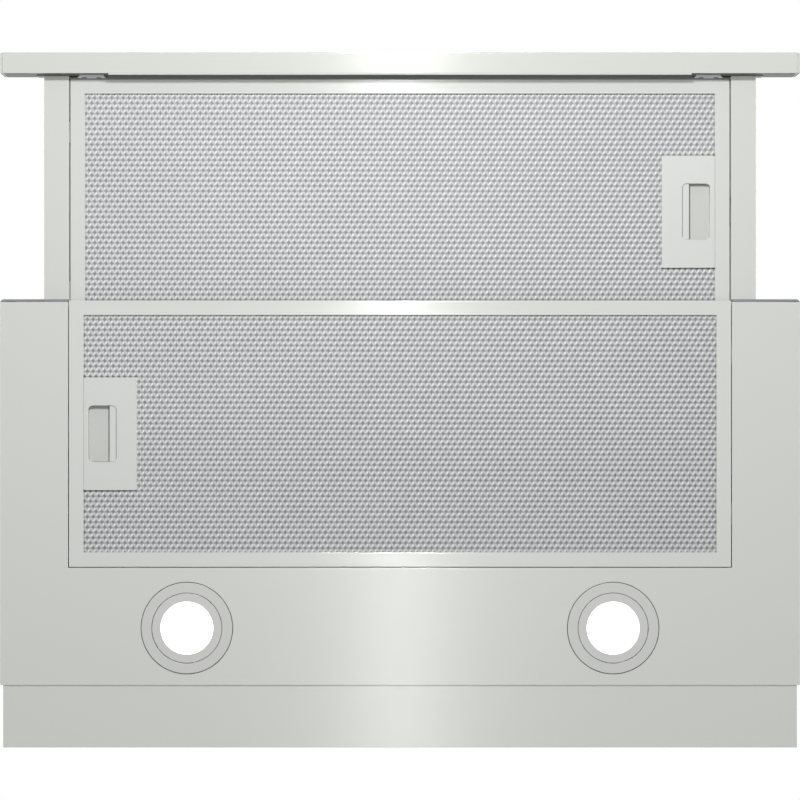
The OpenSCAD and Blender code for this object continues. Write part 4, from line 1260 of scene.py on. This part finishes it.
        inner = [(0.0, self.skirt_z), (0.0, 0.25), (0.07, 0.07), (0.24, 0.0)]
        outer = [(0.12, 0.0), (0.03, 0.04), (0.0, 0.12), (0.0, sheet)]
        grid = np.array([recess(*ring) for ring in inner] + [edge(*ring) for ring in outer]
                        + [recess(skirt_t, sheet), recess(skirt_t, self.skirt_z)])
        slope_x = self.recess_x + self.recess_w - self.skirt_end
        share = np.clip((slope_x - grid[:, :, 0]) / self.skirt_slope, 0, 1)
        depth = sheet + (self.skirt_z - sheet) * share
        grid[:, :, 2] = np.where(grid[:, :, 2] > sheet, depth, grid[:, :, 2])
        return Surface(grid.reshape(-1, 3), [grid_quads(*grid.shape[:2], True, True)])

    def handle_works(self) -> Surface:
        """Guide walls, stop walls and back plate inside the handle.

        Returns:
            All seven, as one.
        """
        low, high, wall = self.sheet - 0.1, self.back_z, self.wall
        x0, x1 = self.grip_x, self.grip_end
        guide, rim = self.recess_half, self.grip_half
        guide_x, inside = self.recess_x - wall, guide + wall - 0.1
        stop = self.recess_x + self.recess_w + self.stop_gap
        return together([
            brick((guide_x, -guide - wall, low), (x1, -guide, high)),
            brick((guide_x, guide, low), (x1, guide + wall, high)),
            brick((stop, -inside, low), (stop + wall, inside, self.skirt_z)),
            brick((x1 - wall, -inside, low), (x1, inside, high)),
            brick((-self.half_x + self.sheet + 2 * self.slip, -rim, high), (x1, rim, self.roof)),
            brick((x0, -rim, low), (x1, -rim + wall, high)),
            brick((x0, rim - wall, low), (x1, rim, high)),
        ])

    def spring(self) -> Surface:
        """The latch's return spring: wire wound in a helix about X, above the strands.

        Returns:
            The wire, in the hood's frame.
        """
        box, wire = Extent.of(f"{self.side}_latch_spring"), self.wire
        y, z, radius = box.middle.y, box.middle.z + self.spring_lift, self.spring_r - wire
        t = np.linspace(0, 1, self.spring_turns * 14)
        a = 2 * math.pi * self.spring_turns * t
        x = box.low.x + wire + (box.high.x - box.low.x - 2 * wire) * t
        return tube(np.column_stack([x, y + radius * np.cos(a), z + radius * np.sin(a)]), wire)

    def build(self) -> None:
        """Builds the cassette's pieces and dresses them."""
        side = self.side
        mesh, handle, latch = f"{side}_filter_mesh", f"{side}_filter_handle", f"{side}_latch"
        Workshop.soften(f"{side}_filter_frame", CASSETTE, 0.45)
        surface, painted_highlight = self.strands()
        strands = Workshop.build(
            f"{side}_filter_strands", self.in_place(surface), STRAND, self.body, (mesh,), 80, False)
        # The painted highlight goes onto the strands as a point attribute.
        strands.data.attributes.new("painted_highlight", "FLOAT", "POINT").data.foreach_set(
            "value", painted_highlight.astype(np.float32))
        log.info("%s has %d faces", strands.name, len(strands.data.polygons))
        # The pad's dark colour paints the shade of the mesh layers behind the strands.
        Workshop.build(
            f"{side}_filter_pad", self.in_place(self.pad()), PAD_PAINTED_SHADE, self.body, (mesh,))
        for part, shape, sharp in (
                ("plate", self.handle_plate(), 40), ("works", self.handle_works(), 35)):
            Workshop.build(
                f"{side}_handle_{part}", self.in_place(shape), HANDLE, self.body, (handle,), sharp)
        # Down-facing faces above the latch's floor, the recess floor, get the darker colour that
        # paints shade.
        floor = Extent.of(latch).low.z + self.latch_floor
        Workshop.soften(latch, HANDLE, 0.2,
                        lambda centres, normals: (centres[:, 2] > floor) & (normals[:, 2] < -0.6))
        # A dark grey strip beside the slider's lip paints the lip's shadow on the recess floor.
        bottom, top = (self.back_z - drop for drop in self.shade_strip_drop)
        shade_strip = brick((self.lip_x - self.fold_w, 0.7 - self.recess_half, bottom),
                     (self.lip_x + 0.1, self.recess_half - 0.7, top), 0.05)
        Workshop.build(f"{side}_latch_shade_strip", self.in_place(shade_strip), SEAL_AND_SHADE_GREY, latch, (latch,))
        coil = Workshop.build(
            f"{side}_latch_coil", self.spring(), SCREW, self.body, (f"{side}_latch_spring",))
        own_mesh(coil)


@dataclass
class Lamp:
    """One of the two round lamps: trim, inner ring and lens, and a dark ring round the trim that
    paints a shade line.

    proud is how far the trim stands below the plate, and sunk how far the ring and
    the lens lie above the trim's face.
    """

    side: str
    trim_r: float = 34.0
    trim_inner: float = 26.45
    ring_r: float = 26.0
    lens_r: float = 19.65
    # A dark ring just outside the trim that paints the shade line round it.
    shade_ring_r: float = 34.5
    shade_ring_lap: float = 2.0
    shade_ring_t: float = 0.35
    proud: float = 0.8
    sunk: float = 0.2
    collar_w: float = 4.0
    collar_h: float = 6.0
    ring_h: float = 5.0
    lens_h: float = 4.0

    def trim(self) -> Surface:
        """The outer trim: a flat ring with rolled edges and a collar through the plate.

        Returns:
            The trim about Z, from the plate's underside at z = 0.
        """
        inner, collar = self.trim_inner, self.trim_inner + self.collar_w
        corners = np.array([
            [inner, -self.proud], [self.trim_r, -self.proud], [self.trim_r, 0.0],
            [collar, 0.0], [collar, self.collar_h], [inner, self.collar_h]])
        return revolved(filleted(corners, [0.2, 0.3, 0.1, 0.1, 0.3, 0.2], 4))

    def shade_ring(self) -> Surface:
        """A dark ring that paints the thin shade line round the trim.

        Returns:
            The ring about Z, just below z = 0.
        """
        r0, r1, low = self.trim_r - self.shade_ring_lap, self.shade_ring_r, -self.shade_ring_t
        corners = np.array([[r0, low], [r1, low], [r1, 0.0], [r0, 0.0]])
        return revolved(filleted(corners, 0.1, 2))

    def ring(self) -> Surface:
        """The inner ring, flat with rolled edges.

        Returns:
            The ring about Z.
        """
        inner, outer, low = self.lens_r + 0.05, self.ring_r, self.sunk - self.proud
        corners = np.array([
            [inner, low], [outer, low], [outer, self.ring_h], [inner, self.ring_h]])
        return revolved(filleted(corners, [0.25, 0.25, 0.3, 0.3], 4))

    def lens(self) -> Surface:
        """The lens, whose underside rises as 0.6 (r / R)^2 from its middle to its rim.

        Returns:
            The lens about Z.
        """
        r = np.linspace(0.02, 1, 14)
        under = np.column_stack([self.lens_r * r, self.sunk + 0.6 * r * r])
        over = np.array([[self.lens_r, self.lens_h - 0.2], [self.lens_r - 0.2, self.lens_h],
                         [0.4, self.lens_h]])
        return dome(np.vstack([under, over]), 72)

    def build(self) -> None:
        """Builds the lamp's pieces and dresses them."""
        box = Extent.of(f"lamp_trim_{self.side}")
        place = (box.middle.x, box.middle.y, box.low.z + self.proud)
        for part, node, shape, finish in (
            # The dark ring round the trim paints a shade line.
            ("trim", "trim", self.trim(), TRIM), ("shade_ring", "trim", self.shade_ring(), DARK),
            ("ring", "ring", self.ring(), TRIM), ("lens", "lens", self.lens(), OPAL),
        ):
            Workshop.build(f"lamp_{part}_{self.side}_turned", shape.moved(place), finish,
                           "hood_body", (f"lamp_{node}_{self.side}",), 50)
        Workshop.soften(f"lamp_can_{self.side}", ZINC, 0.3)


@dataclass
class PanelDetails:
    """The front panel, its rear lip, the bar behind it and its brackets' flanges.

    The seals beside the front cassette leave a gap at its latch, on the right, and
    one at each of its two hook tabs, on the left.
    """

    lip_half: float = 218.0
    lip_d: float = 1.15
    lip_h: float = 0.7
    flange_x: float = 231.5
    flange_w: float = 20.8
    flange_d: float = 2.95
    tab_w: float = 7.5
    fold_w: float = 3.2
    foam_h: float = 8.5
    seal_h: float = 5.0
    seal_gap: float = 0.12
    latch_half: float = 10.5
    hook_y: tuple[float, float] = (51.0, 69.0)

    def lip(self, back: float, low: float) -> Surface:
        """The lip folded back along the panel's lower rear edge.

        Args:
            back: Y of the panel's rear face.
            low: Z of the panel's underside.

        Returns:
            The lip, a slanted profile carried along X.
        """
        root, end, top = back - 0.3, back + self.lip_d, low + self.lip_h
        profile = np.array([[root, low + 0.04], [back + self.lip_d * 0.9, low + self.lip_h / 2],
                            [end, top], [root, top]])
        return slab(filleted(profile, 0.1, 2), -self.lip_half, self.lip_half, 0.1).mapped(2, 0, 1)

    def flange(self, side: float, back: float, low: float) -> tuple[Surface, Surface]:
        """The lower flange of a bracket: a plate with a tab, and the folds at its corners.

        Args:
            side: -1 for the left bracket and 1 for the right one.
            back: Y of the panel's rear face.
            low: Z of the bracket's underside.

        Returns:
            The plate with its tab, and the two folds.
        """
        middle, tab = side * self.flange_x, self.tab_w / 2
        x0, x1 = middle - self.flange_w / 2, middle + self.flange_w / 2
        y1, y2 = back + self.flange_d - 1.1, back + self.flange_d
        plate = together([
            brick((x0 + 1.2, back + 0.05, low - 1), (x1 - 1.2, y1, low), 0.1),
            brick((middle - tab, y1 - 0.3, low - 0.5), (middle + tab, y2 - 0.1, low + 0.4), 0.2)])
        folds = together([
            brick((x, y1 - 0.4, low - 1), (x + self.fold_w, y2 - 0.4, low + 0.2), 0.3)
            for x in (x0, x1 - self.fold_w)])
        return plate, folds

    def foam(self) -> Surface:
        """Sealing foam between the front bar and the front cassette.

        Returns:
            The strip, in the hood's frame.
        """
        bar, cassette = Extent.of("drawer_front_bar"), Extent.of("front_filter_frame")
        reach, z = cassette.low.x + 1.0, bar.low.z + 0.5
        return brick((reach, bar.high.y, z), (-reach, cassette.low.y - 0.15, z + self.foam_h), 0.2)

    def seals(self) -> Surface:
        """Edge seals in the gaps beside the front cassette, open at its tabs and its latch.

        Returns:
            The five strips, in the hood's frame.
        """
        cassette, gap = Extent.of("front_filter_frame"), self.seal_gap
        x0, x1 = cassette.high.x + gap, Extent.of("drawer_side_right").low.x - gap
        z, reach, middle = cassette.low.z + 1.0, cassette.half.y - 0.3, cassette.middle.y
        latch, (near, far) = self.latch_half, self.hook_y
        return together([
            brick((left, middle + start, z), (right, middle + end, z + self.seal_h), 0.1)
            for left, right, start, end in (
                (x0, x1, -reach, -latch), (x0, x1, latch, reach),
                (-x1, -x0, -reach, -far), (-x1, -x0, -near, near), (-x1, -x0, far, reach))])

    def build(self) -> None:
        """Builds the pieces and dresses them; the faces turned to the wall get a dark grey that
        paints shade.
        """
        panel = Extent.of("front_panel")
        for node in ("front_panel", "panel_caps"):
            # The panel's faces turned to the wall get the paint's dark grey, which paints shade.
            Workshop.soften(node, PANEL, 0.5, lambda centres, normals: normals[:, 1] > 0.6)
        # The front bar's dark grey paints the shade it lies in behind the panel.
        Workshop.soften("drawer_front_bar", BAR_PAINTED_SHADE, 0.25)
        for name, shape, finish, node in (
            ("panel_rear_lip", self.lip(panel.high.y, panel.low.z), SILVER, "front_panel"),
            ("front_bar_foam", self.foam(), FOAM, "drawer_front_bar"),
            ("front_filter_seals", self.seals(), SEAL_AND_SHADE_GREY, "front_filter_frame"),
        ):
            Workshop.build(name, shape, finish, "drawer", (node,))
        for side, name in ((-1.0, "left"), (1.0, "right")):
            bracket = f"panel_bracket_{name}"
            plate, folds = self.flange(side, panel.high.y, Extent.of(bracket).low.z)
            # The flanges' raised colour paints light in the panel's shade, and the folds'
            # near-white paints highlights.
            for part, shape, finish in (("flange", plate, BRACKET_PAINTED_LIGHT), ("folds", folds, FOLD_PAINTED_HIGHLIGHT)):
                Workshop.build(f"panel_bracket_{part}_{name}", shape, finish, "drawer", (bracket,))


@dataclass
class KeyMarks:
    """Plain raised marks on the faces of the three keys: a sun, a minus and a plus."""

    proud: float = 0.12
    thick: float = 0.4
    length: float = 5.0
    width: float = 0.9
    sun_r: float = 1.3
    sun_w: float = 0.6
    ray: float = 1.1
    rays: int = 8

    def bar(self, length: float, angle: float, offset: float = 0.0) -> Surface:
        """A bar in the plane of X and Z, turned by an angle in degrees about Y.

        Args:
            length: its length.
            angle: its direction, from X.
            offset: how far its middle lies from the origin along that direction.

        Returns:
            The bar, which reaches from Y = 0 towards the wall.
        """
        s, c = math.sin(math.radians(angle)), math.cos(math.radians(angle))
        along, across = np.array([s, c]), np.array([c, -s])
        corners = rectangle(self.width / 2, length / 2, 0.2, 2)
        outline = corners[:, :1] * across + corners[:, 1:] * along + along * offset
        return slab(outline, 0.0, self.thick, 0.06).mapped(1, 2, 0)

    def sun(self) -> Surface:
        """A ring with rays evenly round it.

        Returns:
            The mark, which reaches from Y = 0 towards the wall.
        """
        r0, r1, top = self.sun_r, self.sun_r + self.sun_w, self.thick
        profile = np.array([[r0, 0.0], [r1, 0.0], [r1, top], [r0, top]])
        ring = revolved(filleted(profile, 0.06, 2), 40)
        offset = 2 * self.sun_r + self.ray / 2
        rays = [self.bar(self.ray, 360.0 / self.rays * i, offset) for i in range(self.rays)]
        return together([ring.mapped(1, 2, 0)] + rays)

    def build(self) -> None:
        """Puts a mark on each key and dresses it."""
        plus = together([self.bar(self.length, 0.0), self.bar(self.length, 90.0)])
        marks = {"light": self.sun(), "slower": self.bar(self.length, 0.0), "faster": plus}
        for name, mark in marks.items():
            key = Extent.of(f"key_{name}")
            place = (key.middle.x, key.low.y - self.proud, key.middle.z)
            Workshop.build(f"key_mark_{name}", mark.moved(place), MARK, f"key_{name}")


@dataclass
class HousingDetails:
    """Laps, skirt, ribs and blind rivets of the upper housing's zinc sheets.

    lap_rivets are the heights of the rivets in each lap. The skirt has side_rivets
    at a pitch of side_pitch on each side, and end_rivets on its front and rear.
    """

    sheet: float = 0.8
    lap: float = 14.0
    lap_gap: float = 0.6
    skirt: float = 11.0
    rivet_r: float = 2.6
    lap_rivets: tuple[float, ...] = (22.0, 57.0, 92.0, 127.0)
    side_rivets: tuple[int, ...] = (-1, 0, 1)
    side_pitch: float = 94.0
    end_rivets: tuple[int, ...] = (-2, -1, 0, 1, 2)
    end_pitch: float = 112.0
    rib_half: float = 95.0
    rib_w: float = 9.0
    rib_h: float = 1.3
    rib_places: tuple[float, ...] = (-165.0, -105.0, 105.0, 165.0)

    def rivet(self) -> Surface:
        """A blind rivet's head with the hole of its pin, looking upwards.

        Returns:
            The head about Z, on a sheet whose upper face is at z = 0.
        """
        r = self.rivet_r
        profile = np.array([[0.1, -0.5], [r, -0.5], [r, 0.12], [0.94 * r, 0.42], [0.74 * r, 0.72],
                            [0.46 * r, 0.86], [0.38 * r, 0.78], [0.35 * r, 0.3], [0.1, 0.3]])
        return dome(profile, 20)

    def cover_skirt(self, middle: float, half_x: float, half_y: float, top: float) -> Surface:
        """The cover's edge, folded down over the walls.

        Its section runs out under the skirt, up its outer face and back over the
        cover, and is carried round the rectangle of the walls.

        Args:
            middle: Y of the housing's middle.
            half_x: half the housing's width.
            half_y: half its depth.
            top: Z of the cover's upper face.

        Returns:
            The closed ring.
        """
        low, t = top - self.skirt, self.sheet
        section = ((-0.1, low), (t - 0.2, low), (t, low + 0.2), (t, top - 0.5),
                   (t - 0.25, top - 0.02), (0.2, top + 0.12), (-3.0, top + 0.12), (-3.1, top - 0.2))
        rings = np.array([at_level(
            rectangle(half_x + grow, half_y + grow, 1.5 + max(grow, 0.0)) + [0.0, middle], z)
            for grow, z in section])
        return Surface(rings.reshape(-1, 3), [grid_quads(*rings.shape[:2], True, True)])

    def build(self) -> None:
        """Builds the details on the housing's walls and cover, and dresses them."""
        walls, top = Extent.of("upper_housing"), Extent.of("top_cover").high.z
        x, y0, y1, t = walls.high.x, walls.low.y, walls.high.y, self.sheet
        middle = (y0 + y1) / 2
        level, edge = top - self.skirt / 2, top - self.skirt - self.lap_gap
        laps = [brick((x0, y, 1.0), (x1, y + self.lap, edge))
                for x0, x1 in ((-x - t, -x), (x, x + t)) for y in (y0, y1 - self.lap)]
        places = [(y, z) for y in (y0 + self.lap / 2, y1 - self.lap / 2) for z in self.lap_rivets]
        places += [(middle + self.side_pitch * i, level) for i in self.side_rivets]
        right, rear = self.rivet().mapped(2, 0, 1), self.rivet().mapped(1, 2, 0)
        left, front = right.turned_about(), rear.turned_about()
        rivets = [rivet.moved((side * (x + t), y, z))
                  for y, z in places for side, rivet in ((1, right), (-1, left))]
        rivets += [rivet.moved((self.end_pitch * i, y, level))
                   for i in self.end_rivets for y, rivet in ((y1 + t, rear), (y0 - t, front))]
        rib = rectangle(self.rib_w / 2, self.rib_half, self.rib_w / 2 - 0.1)
        ribs = [slab(rib + [place, middle], top - 0.3, top + self.rib_h, 1.1)
                for place in self.rib_places]
        for name, shape, node in (
            ("housing_laps", together(laps), "upper_housing"),
            ("cover_skirt", self.cover_skirt(middle, x, (y1 - y0) / 2, top), "top_cover"),
            ("cover_ribs", together(ribs), "top_cover"),
        ):
            Workshop.build(name, shape, ZINC, "hood_body", (node,))
        Workshop.build(
            "housing_rivets", together(rivets), SCREW, "hood_body", ("upper_housing",), 30)


@dataclass
class Screws:
    """Pan head screws with a cross recess.

    The housing's screws stand in two rows of three, and the filler strip's in one
    row of four, at housing_pitch and strip_pitch.
    """

    head_r: float = 3.0
    head_h: float = 2.0
    shank_r: float = 1.6
    arm: float = 0.42
    cross_r: float = 1.65
    count: int = 40
    housing_x: float = 258.0
    housing_y: float = 4.0
    housing_z: float = 1.0
    housing_pitch: float = 110.0
    strip_pitch: float = 150.0
    strip_z: float = -20.5

    def one(self, shank: float) -> Surface:
        """A screw with its seat at the origin and its head upwards.

        The head is a polar grid of height h (1 - (r / R)^4 / 2), lowered inside a cross
        whose arms are twice arm wide, and its rim is carried down to the seat and the
        shank.

        Args:
            shank: length of the shank below the seat.

        Returns:
            The closed surface.
        """
        a = circle(self.count)[None]
        share = np.concatenate([np.linspace(0.04, 0.96, 12), [1.0]])[:, None]
        r = self.head_r * share
        x, y = r * np.cos(a), r * np.sin(a)
        near, far = np.minimum(np.abs(x), np.abs(y)), np.maximum(np.abs(x), np.abs(y))
        cross = (near < self.arm) & (far < self.cross_r)
        z = self.head_h * (1 - 0.5 * share**4) - np.where(cross, 1.1 - 0.35 * r, 0.0)
        rest = np.array([[self.head_r, 0.12], [self.head_r - 0.12, 0.0], [self.shank_r, 0.0],
                         [self.shank_r, 0.3 - shank], [self.shank_r * 0.6, -shank]])
        low = np.stack([rest[:, :1] * np.cos(a), rest[:, :1] * np.sin(a), rest[:, 1:] + 0 * a], -1)
        grid = np.concatenate([np.stack([x, y, z], -1), low])
        size = grid.shape[:2]
        faces = [grid_quads(*size, False, True)[:, ::-1], end_caps(*size)[:, ::-1]]
        return Surface(grid.reshape(-1, 3), faces)

    def rearward(self, shank: float) -> Surface:
        """A screw with its head towards the wall; the exchange of axes mirrors its faces."""
        screw = self.one(shank).mapped(0, 2, 1)
        return Surface(screw.points, [some[:, ::-1] for some in screw.faces])

    def build(self) -> None:
        """Puts a screw at each place of the CAD screws."""
        housing = [
            self.one(4.0).moved((
                side * self.housing_x, self.housing_y + self.housing_pitch * i, self.housing_z))
            for side in (-1, 1) for i in (-1, 0, 1)]
        seat = Extent.of("case_screws").high.y - self.head_h
        strip = [self.rearward(5.0).moved((i * self.strip_pitch, seat, self.strip_z))
                 for i in (-1.5, -0.5, 0.5, 1.5)]
        drawer = Extent.of("drawer_screws")
        reach, seat = drawer.half.x - self.head_r, drawer.high.y - self.head_h
        panel = [self.rearward(5.0).moved((side * reach, seat, drawer.middle.z))
                 for side in (-1, 1)]
        for name, screws, body in (("case_screws", housing + strip, "hood_body"),
                                   ("drawer_screws", panel, "drawer")):
            Workshop.build(f"{name}_cross", together(screws), SCREW, body, (name,), 30)


@dataclass
class SheetWork:
    """Pieces that keep the CAD's shape: the width of their rounded edges, and their finish.

    A name that ends in _* stands for a left and a right piece.
    """

    groups: tuple[tuple[Finish, dict[str, float]], ...] = (
        (SILVER, {"bottom_plate": 0.35, "rear_strip": 0.35, "drawer_side_*": 0.25,
                  "drawer_rear_bar": 0.25, "drawer_cover": 0.3}),
        (ZINC, {"case_top": 0.3, "upper_housing": 0.3, "top_cover": 0.35, "slide_bracket_*": 0.3,
                "panel_bracket_*": 0.2, "motor_bracket": 0.4}),
        (CAP, {"front_cap_*": 0.3, "duct_collar": 0.4, "flap_*": 0.3}),
        (DARK, {"control_box": 0.5, "cable_gland": 0.5, "lamp_driver": 0.8, "key_module": 0.4,
                "impeller": 0.2}),
        (KEY, {"key_light": 0.4, "key_slower": 0.4, "key_faster": 0.4}),
        (BLOWER, {"blower_case_*": 0.4}),
        (RAIL, {"outer_rail_*": 0.3, "inner_rail_*": 0.3, "flap_pins": 0.2}),
        (MOTOR, {"motor": 0.6}),
    )
    kept: tuple[str, ...] = ("ball_cage_left", "ball_cage_right")

    def build(self) -> None:
        """Softens and dresses the pieces, group by group."""
        for finish, widths in self.groups:
            for name, width in widths.items():
                nodes = [name.replace("*", side) for side in ("left", "right")]
                for node in dict.fromkeys(nodes):
                    Workshop.soften(node, finish, width)
        for node in self.kept:
            Workshop.keep(node, RAIL)


def main() -> None:
    """Builds the studio and the hood's pieces in order."""
    logging.basicConfig(level=logging.INFO, format="%(message)s")
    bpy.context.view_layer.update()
    Studio().build()
    Cassette("rear", "rear_filter", False).build()
    Cassette("front", "drawer", True).build()
    for side in ("left", "right"):
        Lamp(side).build()
    PanelDetails().build()
    KeyMarks().build()
    HousingDetails().build()
    Screws().build()
    SheetWork().build()


if __name__ == "__main__":
    main()
